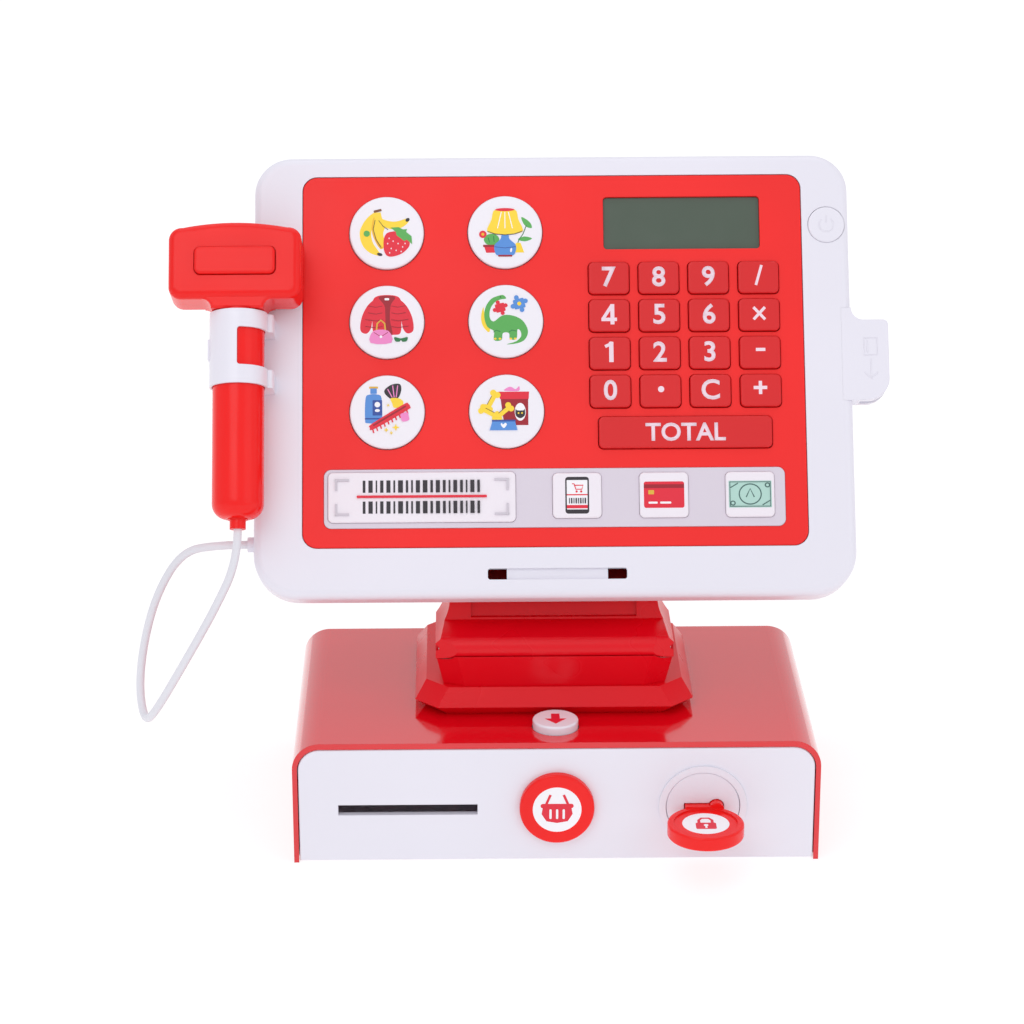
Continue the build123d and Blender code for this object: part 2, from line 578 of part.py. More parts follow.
def scanner_holster():
    """A sleeve for the handle, with two straps that reach the tablet and a gap between."""
    tall = HOLSTER_HIGH - HOLSTER_LOW
    middle = (HOLSTER_LOW + HOLSTER_HIGH) / 2
    sleeve = Pos(SCAN_U, middle, SCAN_W) * Rot(90, 0, 0) * Cylinder(HOLSTER_R, tall)
    sleeve += slab(TAB_LEFT - 2, STRAP_RIGHT, HOLSTER_LOW, HOLSTER_HIGH, 0, SCAN_W)
    sleeve = fillet(
        sleeve.edges().filter_by(Axis.Y).group_by(Axis.X)[-1].sort_by(Axis.Z)[-1], 2.0
    )
    sleeve += slab(SCAN_U - HOLSTER_R - 0.5, SCAN_U - 6, -2.5, 5.5, SCAN_W - 3, SCAN_W + 3)
    sleeve -= Pos(SCAN_U, middle, SCAN_W) * Rot(90, 0, 0) * Cylinder(
        HANDLE_R + GAP, tall + 2
    )
    gap = plate(GAP_LEFT + REACH / 2, GAP_V, 0, REACH, REACH, GAP_H, 1.2)
    behind = slab(TAB_LEFT, REACH, -REACH, REACH, -1, SCAN_W)
    ahead = slab(GAP_LEFT, REACH, -REACH, REACH, SCAN_W, REACH)
    return sleeve - (gap & behind) - (gap & ahead)


def swipe_reader():
    """A tab on the right side, with a slot to swipe a card through from top to bottom."""
    slot_low = -READER_LIP - READER_SLOT
    return reader_block() - slab(
        TAB_RIGHT + 3, READER_RIGHT + 1, READER_V0 - 20, READER_V1 + 20, slot_low, -READER_LIP,
    )


# ---- scanner ------------------------------------------------------------------------
TRIGGER_U, TRIGGER_V, TRIGGER_W, TRIGGER_H = -125.2, 35.4, 31.8, 11.0


def quarter(start, end, centre):
    """A quarter circle from start to end round a centre."""
    middle = (Vector(*start) + Vector(*end)) / 2 - Vector(*centre)
    radius = (Vector(*start) - Vector(*centre)).length
    return ThreePointArc(start, Vector(*centre) + middle.normalized() * radius, end)


def scanner_throat():
    """The web under the head, which curves in on both sides to meet the handle."""
    left, right = SCAN_U - HANDLE_R, SCAN_U + HANDLE_R
    low = HEAD_V - HEAD_H / 2
    bend, inside = low - THROAT, low + HEAD_EDGE
    outline = Polyline(
        (left - THROAT, low), (left - THROAT, inside), (right + THROAT, inside),
        (right + THROAT, low),
    )
    outline += quarter((right + THROAT, low), (right, bend), (right + THROAT, bend))
    outline += Line((right, bend), (left, bend))
    outline += quarter((left, bend), (left - THROAT, low), (left - THROAT, bend))
    half = HEAD_T / 2 - THROAT_IN
    web = Pos(0, 0, SCAN_W - half) * extrude(make_face(outline), 2 * half)
    return chamfer(web.faces().sort_by(Axis.Z)[-1].edges().sort_by(Axis.Y)[:3], 0.8)


def scanner_body(inset):
    """The whole scanner, head over handle, shrunk all round by an inset."""
    w0, w1 = SCAN_W - HEAD_T / 2 + inset, SCAN_W + HEAD_T / 2 - inset
    half_w, half_h = HEAD_W / 2 - inset, HEAD_H / 2 - inset
    corner, shoulder = HEAD_CORNER - inset, half_h - HEAD_CROWN
    low, side, flat = -half_h, half_w - 5.5, shoulder - 5
    outline = Line((-half_w, low + corner), (-half_w, flat))
    outline += ThreePointArc(
        (-half_w, flat), (-half_w + SHOULDER_IN, shoulder - SHOULDER_DROP), (-side, shoulder)
    )
    outline += ThreePointArc((-side, shoulder), (0, half_h), (side, shoulder))
    outline += ThreePointArc(
        (side, shoulder), (half_w - SHOULDER_IN, shoulder - SHOULDER_DROP), (half_w, flat)
    )
    outline += Line((half_w, flat), (half_w, low + corner))
    turn = half_w - corner
    outline += quarter((half_w, low + corner), (turn, low), (turn, low + corner))
    outline += Line((turn, low), (-turn, low))
    outline += quarter((-turn, low), (-half_w, low + corner), (-turn, low + corner))
    head = Pos(HEAD_U, HEAD_V, w0) * extrude(make_face(outline), w1 - w0)
    rounding = HEAD_EDGE - inset / 2
    head = fillet(head.faces().sort_by(Axis.Z)[-1].edges(), rounding)
    head = fillet(head.faces().sort_by(Axis.Z)[0].edges(), rounding)
    end = HANDLE_LOW + inset
    length = HEAD_V - end
    grip = Pos(SCAN_U, end + length / 2, SCAN_W) * Rot(90, 0, 0) * Cylinder(
        HANDLE_R - inset, length
    )
    grip = fillet(grip.faces().sort_by(Axis.Y)[0].edges(), 6.0 - inset)
    return head + grip


def scanner_shells():
    hollow = scanner_body(0) + scanner_throat() - scanner_body(1.8)
    big = 400
    front = hollow & slab(-big, big, -big, big, SCAN_W, big)
    back = hollow & slab(-big, big, -big, big, -big, SCAN_W)
    front -= plate(
        TRIGGER_U, TRIGGER_V, SCAN_W, SCAN_W + HEAD_T, TRIGGER_W + 2 * GAP,
        TRIGGER_H + 2 * GAP, 2.6,
    )
    top = HEAD_V + HEAD_H / 2
    window = slab(HEAD_U - 17, HEAD_U + 17, top - 6, top + 3, SCAN_W - 7, SCAN_W - 1)
    back -= window
    relief = Pos(SCAN_U, HANDLE_LOW - 2.0, SCAN_W) * Rot(90, 0, 0) * Cylinder(3.2, 4.0)
    relief += Pos(SCAN_U, HANDLE_LOW + 0.4, SCAN_W) * Rot(90, 0, 0) * Cylinder(4.0, 1.6)
    glass = (scanner_body(0.4) - scanner_body(2.2)) & slab(
        HEAD_U - 16.9, HEAD_U + 16.9, top - 6, top + 3, SCAN_W - 6.9, SCAN_W - 1.1
    )
    return front - relief, back + relief, glass


def scanner_trigger():
    face = SCAN_W + HEAD_T / 2
    cap = soften(
        plate(TRIGGER_U, TRIGGER_V, face - 3.0, face + 1.9, TRIGGER_W, TRIGGER_H, 2.4), 1.0
    )
    return cap + plate(
        TRIGGER_U, TRIGGER_V, face - 3.4, face - 2.1, TRIGGER_W + 3, TRIGGER_H + 3, 3
    )


def scanner_cord():
    """A tube of straight runs and tangent arcs from the scanner to the tablet's gland."""
    points = [Vector(*p) for p in CORD_POINTS]
    radii = []
    for a, b, c in zip(points, points[1:], points[2:]):
        run = min((b - a).length, (c - b).length)
        turn = (b - a).get_angle(c - b)
        radii.append(0.45 * run / tan(radians(turn / 2)))
    print("cord arc radii", [round(r, 1) for r in radii])
    path = FilletPolyline(*points, radius=radii)
    section = Plane(origin=points[0], z_dir=points[1] - points[0]) * Circle(CORD_R)
    tube = sweep(section, path=path)
    print("cord length", round(path.length, 1), "tube", round(tube.volume, 1))
    return tube


# ---- write every piece --------------------------------------------------------------
write("base_cover", base_cover())
write("base_floor", base_floor())
write("rubber_feet", rubber_feet())
write("base_screws", base_screws())
write("battery_door", battery_door())
write("batteries", batteries())
write("release_button", release_button())
write("drawer_front", drawer_front())
write("drawer_tray", drawer_tray())
write("drawer_badge", drawer_badge())
write("lock_plug", lock_plug())
write("lock_cam", lock_cam())
write("drawer_key", drawer_key())
write("stand_collar", stand_collar())
write("hinge_turret", hinge_turret())
write("hinge_pin", hinge_pin())
write("tablet_neck", neck())

write_on_tablet("tablet_frame", tablet_frame())
write_on_tablet("tablet_back_shell", tablet_back_shell())
write_on_tablet("tablet_screws", tablet_screws())
write_on_tablet("circuit_board", circuit_board())
write_on_tablet("speaker", speaker())
write_on_tablet("face_panel", face_panel())
write_on_tablet("pad_strip", pad_strip())
write_on_tablet("lcd_display", lcd_display())
write_on_tablet("scanner_holster", scanner_holster())
write_on_tablet("swipe_reader", swipe_reader())

for name, (u, v) in zip(PICTURES, picture_spots()):
    write_on_tablet(f"{name}_button", round_button(u, v, PICTURE_R, KEY_PROUD, -PANEL_T, 1.6))
for names, v in zip(KEY_NAMES, KEY_ROWS):
    for name, u in zip(names, KEY_COLS):
        write_on_tablet(f"key_{name}", block_button(u, v, KEY_W, KEY_H, KEY_PROUD, -PANEL_T))
write_on_tablet("key_sum", block_button(SUM_U, SUM_V, SUM_W, SUM_H, KEY_PROUD, -PANEL_T))
for name, (u, v, width, height) in PADS.items():
    write_on_tablet(name, block_button(u, v, width, height, PAD_PROUD, -PANEL_T))
power = round_button(POWER_U, POWER_V, POWER_R, POWER_PROUD, -WALL - 0.6, 0.5)
write_on_tablet("power_button", power)

front_shell, back_shell, glass = scanner_shells()
write_on_tablet("scanner_front_shell", front_shell)
write_on_tablet("scanner_back_shell", back_shell)
write_on_tablet("scanner_window", glass)
write_on_tablet("scanner_trigger", scanner_trigger())
write("scanner_cord", scanner_cord())
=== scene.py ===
# %% [markdown]
# # A toy cash register, dressed in Blender
# The frame comes from the CAD model: every casing, key and joint is already in its place.
# This lesson gives the pieces their plastics, prints the pictures and numbers on the
# buttons, lays the scanner's cord, and sets up a pale studio to look at it all.

# %% Load the frame
import json
import math

import bmesh
import bpy
from mathutils import Matrix, Vector


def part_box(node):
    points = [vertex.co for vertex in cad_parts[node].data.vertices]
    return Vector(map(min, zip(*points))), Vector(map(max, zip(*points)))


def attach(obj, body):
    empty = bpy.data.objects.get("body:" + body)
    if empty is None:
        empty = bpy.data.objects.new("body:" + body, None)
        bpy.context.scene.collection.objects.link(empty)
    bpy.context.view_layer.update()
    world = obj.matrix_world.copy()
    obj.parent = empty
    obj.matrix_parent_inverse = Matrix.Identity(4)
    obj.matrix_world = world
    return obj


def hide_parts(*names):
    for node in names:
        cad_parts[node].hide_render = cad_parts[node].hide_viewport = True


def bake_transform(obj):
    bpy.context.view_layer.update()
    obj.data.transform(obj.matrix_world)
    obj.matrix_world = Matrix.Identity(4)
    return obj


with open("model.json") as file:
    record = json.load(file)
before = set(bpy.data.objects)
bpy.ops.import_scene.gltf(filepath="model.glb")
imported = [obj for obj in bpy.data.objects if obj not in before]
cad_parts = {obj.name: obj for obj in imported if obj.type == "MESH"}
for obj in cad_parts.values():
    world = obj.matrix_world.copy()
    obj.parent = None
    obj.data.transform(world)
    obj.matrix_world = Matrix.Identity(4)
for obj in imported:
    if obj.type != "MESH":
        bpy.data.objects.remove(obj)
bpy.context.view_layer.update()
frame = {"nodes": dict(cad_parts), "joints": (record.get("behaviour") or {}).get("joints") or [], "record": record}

MM = 0.001

# %% [markdown]
# ## The camera
# A toy like this is shown with a long lens from a little above. The long lens keeps the
# tablet's sides nearly parallel. The camera looks straight back along the table, tips down
# about twenty degrees, and leans a hair to one side.

# %% Camera
LENS_MM, SENSOR_MM = 114.26, 36.0
CAMERA_AT = Vector((-0.0361, -1.2236, 0.5765))
TIP_DOWN, LEAN_SIDE = math.radians(20.23), math.radians(-0.4)
SIDE_SHIFT = 0.048

flat_right = Vector((1, 0, 0))
flat_up = Vector((0, math.sin(TIP_DOWN), math.cos(TIP_DOWN)))
forward = Vector((0, math.cos(TIP_DOWN), -math.sin(TIP_DOWN)))
camera_right = flat_right * math.cos(LEAN_SIDE) + flat_up * math.sin(LEAN_SIDE)
camera_up = flat_up * math.cos(LEAN_SIDE) - flat_right * math.sin(LEAN_SIDE)

lens = bpy.data.cameras.new("studio_camera")
lens.lens, lens.sensor_width = LENS_MM, SENSOR_MM
lens.shift_x = SIDE_SHIFT
lens.clip_start, lens.clip_end = 0.05, 20
camera = bpy.data.objects.new("studio_camera", lens)
turn = Matrix((camera_right, camera_up, -forward)).transposed().to_4x4()
camera.matrix_world = Matrix.Translation(CAMERA_AT) @ turn
bpy.context.scene.collection.objects.link(camera)
bpy.context.scene.camera = camera
print("camera at", tuple(CAMERA_AT))

# %% [markdown]
# ## Directions on the tablet
# The tablet leans back, so everything on its face is easier to place in its own
# directions: u to the right, v up the face and w straight out of it. The joints in the
# frame already point along two of them. The face panel's own points, measured along those
# directions, give the middle of its face. A plain box would not do, because the panel
# leans. The panel sits half a millimetre to the right of the tablet's middle.

# %% Tablet directions
joint_axis = {j["name"]: Vector(j["axis"]) for j in frame["joints"]}
RIGHT = Vector((1, 0, 0))
UP = joint_axis["scanner_lift"]
OUT = -joint_axis["fruit_press"]
PANEL_OFFSET = 0.5
panel_points = [v.co for v in frame["nodes"]["face_panel"].data.vertices]


def span(direction):
    """How far the face panel reaches along a direction, low and high."""
    along = [direction.dot(p) for p in panel_points]
    return min(along), max(along)


PANEL_CENTRE = (
    RIGHT * (sum(span(RIGHT)) / 2 - PANEL_OFFSET * MM)
    + UP * sum(span(UP)) / 2
    + OUT * span(OUT)[1]
)


def on_tablet(u, v, w):
    """A point given in millimetres along the tablet's own directions."""
    return PANEL_CENTRE + (RIGHT * u + UP * v + OUT * w) * MM


print("panel centre", [round(x, 4) for x in PANEL_CENTRE])

# %% [markdown]
# ## The cord
# The cord is soft white vinyl, a bit over three millimetres thick. It is a NURBS spline:
# a few control points are listed, and Blender draws one smooth line near them. It leaves the
# scanner's foot pointing down, hangs in one loop beside the base and comes back up into
# the gland on the tablet's side.
#
# When the scanner is lifted the cord has to keep hold of both ends. Here the line only becomes a
# mesh tube that is tied to no body, so it stays where it is laid.

# %% Cord
CORD_D = 0.0033
CORD_POINTS = [
    (-124.3, -31.8, 130.7), (-124.3, -38.0, 119.9), (-134.0, -39.5, 99.5),
    (-147.5, -39.0, 75.5), (-159.5, -35.5, 54.0), (-165.0, -23.0, 45.0),
    (-168.0, -10.5, 55.0), (-165.0, -9.5, 76.0), (-158.5, -10.5, 97.0),
    (-148.0, -13.5, 114.5), (-134.5, -16.37, 118.33), (-121.6, -16.37, 118.33),
]


def route(name, points, thickness):
    """A smooth spline near the given points, as a curve object."""
    curve = bpy.data.curves.new(name, "CURVE")
    curve.dimensions = "3D"
    spline = curve.splines.new("NURBS")
    spline.points.add(len(points) - 1)
    for knot, (x, y, z) in zip(spline.points, points):
        knot.co = (x * MM, y * MM, z * MM, 1)
    spline.order_u = 3
    spline.use_endpoint_u = True
    curve.resolution_u = 14
    curve.bevel_depth = thickness / 2
    curve.bevel_resolution = 5
    curve.use_fill_caps = thickness > 0
    return bpy.data.objects.new(name, curve)


def add(name, mesh):
    """A new object in the scene that holds this mesh."""
    piece = bpy.data.objects.new(name, mesh)
    bpy.context.scene.collection.objects.link(piece)
    return piece


tube = bpy.data.meshes.new_from_object(route("cord_tube", CORD_POINTS, CORD_D))
tube.shade_smooth()
line = bpy.data.meshes.new_from_object(route("cord_line", CORD_POINTS, 0))
CORD_PATH = [tuple(v.co) for v in line.vertices]
cord = add("cord", tube)
cord_length = sum(math.dist(a, b) for a, b in zip(CORD_PATH, CORD_PATH[1:]))
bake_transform(cord)
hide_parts("scanner_cord")
print("cord", round(cord_length, 4), "m long")

# %% [markdown]
# ## Plastics
# Almost everything here is injection-moulded plastic. Real mouldings are never one flat
# colour: the surface waves a little where the plastic cooled, the gloss changes from place
# to place, and every edge is slightly round. The helper below builds that from noise
# textures, and a Bevel node rounds the sharp edges for the light alone.

# %% Plastic helper
def linear(r, g, b):
    """A colour as a screen shows it, 0 to 255, turned into the light values a shader uses."""
    values = [c / 255 for c in (r, g, b)]
    return tuple(
        c / 12.92 if c <= 0.04045 else ((c + 0.055) / 1.055) ** 2.4 for c in values
    )


def tinted(colour, by):
    return tuple(min(1.0, c * by) for c in colour) + (1.0,)


def new_material(name):
    """An empty node tree with its Principled shader, ready to wire."""
    material = bpy.data.materials.new(name)
    material.use_nodes = True
    return material, material.node_tree.nodes, material.node_tree.links


def noise(nodes, links, scale, detail=2.0, rough=0.5):
    place = nodes.new("ShaderNodeTexCoord")
    grain = nodes.new("ShaderNodeTexNoise")
    grain.inputs["Scale"].default_value = scale
    grain.inputs["Detail"].default_value = detail
    grain.inputs["Roughness"].default_value = rough
    links.new(place.outputs["Object"], grain.inputs["Vector"])
    return grain.outputs["Fac"]


def between(nodes, links, value, low, high):
    """Stretch a noise value into the range low to high, with no crease at either end."""
    stretch = nodes.new("ShaderNodeMapRange")
    stretch.interpolation_type = "SMOOTHSTEP"
    stretch.inputs["From Min"].default_value = 0.3
    stretch.inputs["From Max"].default_value = 0.7
    stretch.inputs["To Min"].default_value = low
    stretch.inputs["To Max"].default_value = high
    links.new(value, stretch.inputs["Value"])
    return stretch.outputs["Result"]


def plastic(name, colour, gloss, texture=0.05, texture_scale=900, edge=0.25, coat=0.0,
            drift=0.03, shine=0.5):
    """Moulded plastic. gloss is the pair of roughness values that the surface drifts between."""
    material, nodes, links = new_material(name)
    shader = nodes["Principled BSDF"]
    ramp = nodes.new("ShaderNodeValToRGB")
    ramp.color_ramp.interpolation = "EASE"
    ramp.color_ramp.elements[0].position = 0.3
    ramp.color_ramp.elements[1].position = 0.7
    ramp.color_ramp.elements[0].color = tinted(colour, 1 - drift)
    ramp.color_ramp.elements[1].color = tinted(colour, 1 + drift)
    links.new(noise(nodes, links, 14), ramp.inputs["Fac"])
    links.new(ramp.outputs["Color"], shader.inputs["Base Color"])
    links.new(between(nodes, links, noise(nodes, links, 35), *gloss), shader.inputs["Roughness"])

    rounding = nodes.new("ShaderNodeBevel")
    rounding.samples = 4
    rounding.inputs["Radius"].default_value = edge * MM
    skin = nodes.new("ShaderNodeBump")
    skin.inputs["Strength"].default_value = texture
    skin.inputs["Distance"].default_value = 0.0001
    links.new(noise(nodes, links, texture_scale, 3), skin.inputs["Height"])
    links.new(rounding.outputs["Normal"], skin.inputs["Normal"])
    links.new(skin.outputs["Normal"], shader.inputs["Normal"])
    shader.inputs["Coat Weight"].default_value = coat
    shader.inputs["Coat Roughness"].default_value = 0.08
    shader.inputs["Specular IOR Level"].default_value = shine
    return material


RED, KEY_RED = linear(242, 26, 24), linear(214, 14, 20)
# The stand's red and the base cover's red are darker than RED: painted shade and a painted dark reflection of the
# stand.
SHADED_STAND_RED, SHADED_BASE_RED = linear(226, 6, 26), linear(222, 6, 24)
WHITE = linear(233, 230, 240)
print("red in light values", [round(c, 3) for c in RED])

# %% [markdown]
# ### One recipe, many mouldings
# The base cover is the shiniest red piece. A clear coat lies on top, and you can see the stand mirrored in it.
# Its red is darkened with painted shade from the tablet and stand above it, and with a painted dark reflection of
# the stand.
# The scanner is a softer gloss. The stand has less shine, and its red is darkened with painted shade and a painted
# dark reflection of the red plastic round it. The key panel is calmer still, so that the pictures read well. The
# white frame, the drawer and the scanner's sleeve share one white with a breath of lavender.

# %% Plastics of this toy
# The base cover's darker red is painted shade from the tablet and stand above it, plus a painted dark reflection
# of the stand.
red_base_painted_shade = plastic("red_base_painted_shade", SHADED_BASE_RED, (0.08, 0.14), texture=0.03, coat=0.8)
red_gloss = plastic("red_gloss", RED, (0.18, 0.26), texture=0.03, shine=0.3)
# The stand's darker red is painted shade plus a painted dark reflection of the red plastic round it.
red_stand_painted_shade = plastic("red_stand_painted_shade", SHADED_STAND_RED, (0.26, 0.34), texture=0.05, shine=0.3)
red_satin = plastic("red_satin", RED, (0.40, 0.48), texture=0.08, texture_scale=1400,
                    shine=0.45)
red_key = plastic("red_key", KEY_RED, (0.40, 0.48), texture=0.05, edge=0.4)
white_satin = plastic("white_satin", WHITE, (0.28, 0.36), texture=0.05, drift=0.008)
white_gloss = plastic("white_gloss", WHITE, (0.08, 0.14), texture=0.03, coat=0.5, drift=0.008)
white_button = plastic("white_button", linear(240, 236, 243), (0.2, 0.28), texture=0.03,
                       drift=0.006)
strip_grey = plastic("strip_grey", linear(218, 208, 220), (0.34, 0.42), drift=0.01)
pad_white = plastic("pad_white", linear(240, 232, 240), (0.36, 0.44), drift=0.008)
cord_white = plastic("cord_white", linear(226, 225, 232), (0.4, 0.5), texture=0.12,
                     texture_scale=1600, edge=0.0)
inner_black = plastic("inner_black", linear(30, 30, 32), (0.5, 0.6))
print("materials", len(bpy.data.materials))

# %% [markdown]
# ## Display, rubber, metal and the parts inside
# The display is a grey-green glass over a darker sheet, switched off. The screws and the
# hinge pin are zinc-plated steel: a metal with a faint brushed grain. The rubber feet are
# matt and dark, the scanner's window is dark red, and the cells have a printed wrap.

# %% Other finishes
def steel(name):
    material, nodes, links = new_material(name)
    shader = nodes["Principled BSDF"]
    shader.inputs["Metallic"].default_value = 1.0
    ramp = nodes.new("ShaderNodeValToRGB")
    ramp.color_ramp.elements[0].color = (0.42, 0.42, 0.44, 1)
    ramp.color_ramp.elements[1].color = (0.66, 0.66, 0.68, 1)
    links.new(noise(nodes, links, 260, 4), ramp.inputs["Fac"])
    links.new(ramp.outputs["Color"], shader.inputs["Base Color"])
    links.new(between(nodes, links, noise(nodes, links, 700), 0.25, 0.42),
              shader.inputs["Roughness"])
    return material


def display_glass(name):
    material, nodes, links = new_material(name)
    shader = nodes["Principled BSDF"]
    ramp = nodes.new("ShaderNodeValToRGB")
    ramp.color_ramp.elements[0].color = (*linear(70, 83, 70), 1)
    ramp.color_ramp.elements[1].color = (*linear(80, 93, 80), 1)
    links.new(noise(nodes, links, 22), ramp.inputs["Fac"])
    links.new(ramp.outputs["Color"], shader.inputs["Base Color"])
    links.new(between(nodes, links, noise(nodes, links, 120), 0.16, 0.24),
              shader.inputs["Roughness"])
    shader.inputs["Coat Weight"].default_value = 0.2
    shader.inputs["Coat Roughness"].default_value = 0.05
    return material


zinc = steel("zinc")
display = display_glass("display")
rubber = plastic("rubber", linear(38, 38, 40), (0.7, 0.8), texture=0.3)
window_red = plastic("window_red", linear(70, 8, 14), (0.06, 0.1), texture=0.01, coat=1.0)
board_green = plastic("board_green", linear(22, 92, 52), (0.3, 0.4), texture=0.1)
cell_wrap = plastic("cell_wrap", linear(60, 66, 74), (0.2, 0.3))
print("materials", len(bpy.data.materials))

# %% [markdown]
# ## Dressing the CAD pieces
# A CAD piece keeps its shape and only gets a better finish in its material slot. The
# record already says which plastic each piece is made of, so most pieces follow from
# their slot, and a few are named one by one.

# %% Give each CAD piece its finish
FINISH_OF_SLOT = {
    "red_plastic": red_gloss, "key_plastic": red_key, "white_plastic": white_satin,
    "button_plastic": white_button, "strip_plastic": strip_grey, "display": display,
    "soft_rubber": rubber, "zinc_steel": zinc, "board_green": board_green,
    "cell_wrap": cell_wrap, "speaker_black": inner_black, "scan_window": window_red,
    "cord_vinyl": cord_white,
}
FINISH_OF_NODE = {
    # The base cover's red and the stand's red carry painted shade and a painted dark reflection.
    "release_button": white_gloss, "base_cover": red_base_painted_shade, "stand_collar": red_stand_painted_shade,
    "hinge_turret": red_stand_painted_shade, "tablet_neck": red_stand_painted_shade,
    "face_panel": red_satin, "barcode_pad": pad_white, "phone_pay_pad": pad_white,
    "card_pay_pad": pad_white, "cash_pay_pad": pad_white,
}


def dress(piece, material):
    piece.data.materials.clear()
    piece.data.materials.append(material)


for part in frame["record"]["subparts"]:
    node = part["node"]
    dress(frame["nodes"][node], FINISH_OF_NODE.get(node, FINISH_OF_SLOT[part["material_slot"]]))
dress(cord, cord_white)

# %% [markdown]
# ## Printing pictures
# The pictures are printed on the buttons in flat inks. Each colour is a thin closed sheet,
# about a hundredth of a millimetre higher than the one below it, so the inks overlap cleanly the
# way screen printing does. Outlines come from a few helpers: ovals, round boxes, smooth
# closed shapes through listed points, and strokes for thin lines.

# %% Outline helpers
INK_STEP = 0.012


def oval(x, y, rx, ry=None, turn=0.0, count=28):
    ry = rx if ry is None else ry
    cos, sin = math.cos(math.radians(turn)), math.sin(math.radians(turn))
    ring = []
    for k in range(count):
        a = 2 * math.pi * k / count
        px, py = rx * math.cos(a), ry * math.sin(a)
        ring.append((x + px * cos - py * sin, y + px * sin + py * cos))
    return ring


def round_box(x, y, width, height, radius=0.0, turn=0.0):
    """A rectangle round its centre, with round corners if radius is given."""
    cos, sin = math.cos(math.radians(turn)), math.sin(math.radians(turn))
    ring = []
    for sx, sy, start in ((1, 1, 0), (-1, 1, 90), (-1, -1, 180), (1, -1, 270)):
        cx, cy = sx * (width / 2 - radius), sy * (height / 2 - radius)
        for k in range(6 if radius else 1):
            a = math.radians(start + 18 * k)
            px, py = cx + radius * math.cos(a), cy + radius * math.sin(a)
            ring.append((x + px * cos - py * sin, y + px * sin + py * cos))
    return ring


def smooth(points, steps=5):
    """A closed curve that passes through every point."""
    count, ring = len(points), []
    for i in range(count):
        a, b, c, d = (Vector(points[(i + k) % count]) for k in (-1, 0, 1, 2))
        for s in range(steps):
            t = s / steps
            ring.append(tuple(0.5 * (
                2 * b + (c - a) * t + (2 * a - 5 * b + 4 * c - d) * t * t
                + (3 * b - a - 3 * c + d) * t * t * t
            )))
    return ring


def stroke(points, width):
    """A line of even width through a few points, as a closed outline."""
    points = [Vector(p) for p in points]
    left, right = [], []
    for i, p in enumerate(points):
        along = points[min(i + 1, len(points) - 1)] - points[max(i - 1, 0)]
        side = Vector((-along.y, along.x)).normalized() * width / 2
        left.append(tuple(p + side))
        right.append(tuple(p - side))
    return left + right[::-1]


print("points in an oval", len(oval(0, 0, 1)))

# %% [markdown]
# ### From an outline to a printed sheet
# A printed shape has to be a closed solid, or it would be a loose skin. So each outline
# becomes a top and a bottom face joined by a wall all round, and its foot is sunk a little
# into the button. An outline drawn clockwise would turn inside out, so it is reversed first.

# %% Print helper
PRINT_FOOT = -0.05


def signed_area(ring):
    return sum(a[0] * b[1] - b[0] * a[1] for a, b in zip(ring, ring[1:] + ring[:1])) / 2


def print_on(name, body, place, shapes, first=0.02, step=INK_STEP):
    """Print the shapes, in order, as thin sheets. place turns x, y, height into a point."""
    mesh = bpy.data.meshes.new(name)
    inks = []
    build = bmesh.new()
    for layer, (ink, ring) in enumerate(shapes):
        if ink not in inks:
            inks.append(ink)
        if signed_area(ring) < 0:
            ring = ring[::-1]
        high = first + step * layer
        top = [build.verts.new(place(x, y, high)) for x, y in ring]
        low = [build.verts.new(place(x, y, PRINT_FOOT)) for x, y in ring]
        faces = [build.faces.new(top), build.faces.new(low[::-1])]
        for k in range(len(ring)):
            m = (k + 1) % len(ring)
            faces.append(build.faces.new((low[k], low[m], top[m], top[k])))
        for face in faces:
            face.material_index = inks.index(ink)
    build.to_mesh(mesh)
    build.free()
    piece = add(name, mesh)
    for ink in inks:
        mesh.materials.append(INKS[ink])
    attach(piece, body)
    return piece


print("each ink lies", INK_STEP, "mm above the last")

# %% [markdown]
# ## The inks
# Printed ink is flat and slightly satin. Each ink still gets a faint mottle, because ink
# on plastic never lies perfectly even.

# %% Inks
INK_COLOURS = {
    "yellow": (250, 214, 56), "deep_yellow": (240, 184, 40), "red": (226, 32, 56),
    "deep_red": (158, 16, 38), "green": (88, 172, 84), "deep_green": (36, 116, 66),
    "blue": (84, 142, 216), "deep_blue": (44, 76, 156), "pink": (240, 138, 200),
    "black": (44, 38, 46), "white": (246, 244, 248), "label": (240, 214, 226),
    "grey": (206, 198, 208), "mint": (178, 214, 204), "deep_mint": (70, 104, 100),
    "gold": (222, 176, 60), "brown": (120, 70, 40),
}
INKS = {
    name: plastic("ink_" + name, linear(*rgb), (0.34, 0.42), texture=0.02, edge=0.0)
    for name, rgb in INK_COLOURS.items()
}
print("inks", len(INKS))

# %% [markdown]
# ## Six picture buttons
# Each round button shows a shop department: fruit, things for the home, clothes, toys,
# the bathroom and pets. The drawings are our own plain versions, laid out in millimetres
# from the middle of the button.
#
# ### Fruit
# The bananas are smooth closed curves, one of them darker for the shaded side. A
# strawberry lies in front, with its leaf on top and its seeds sown by a loop.

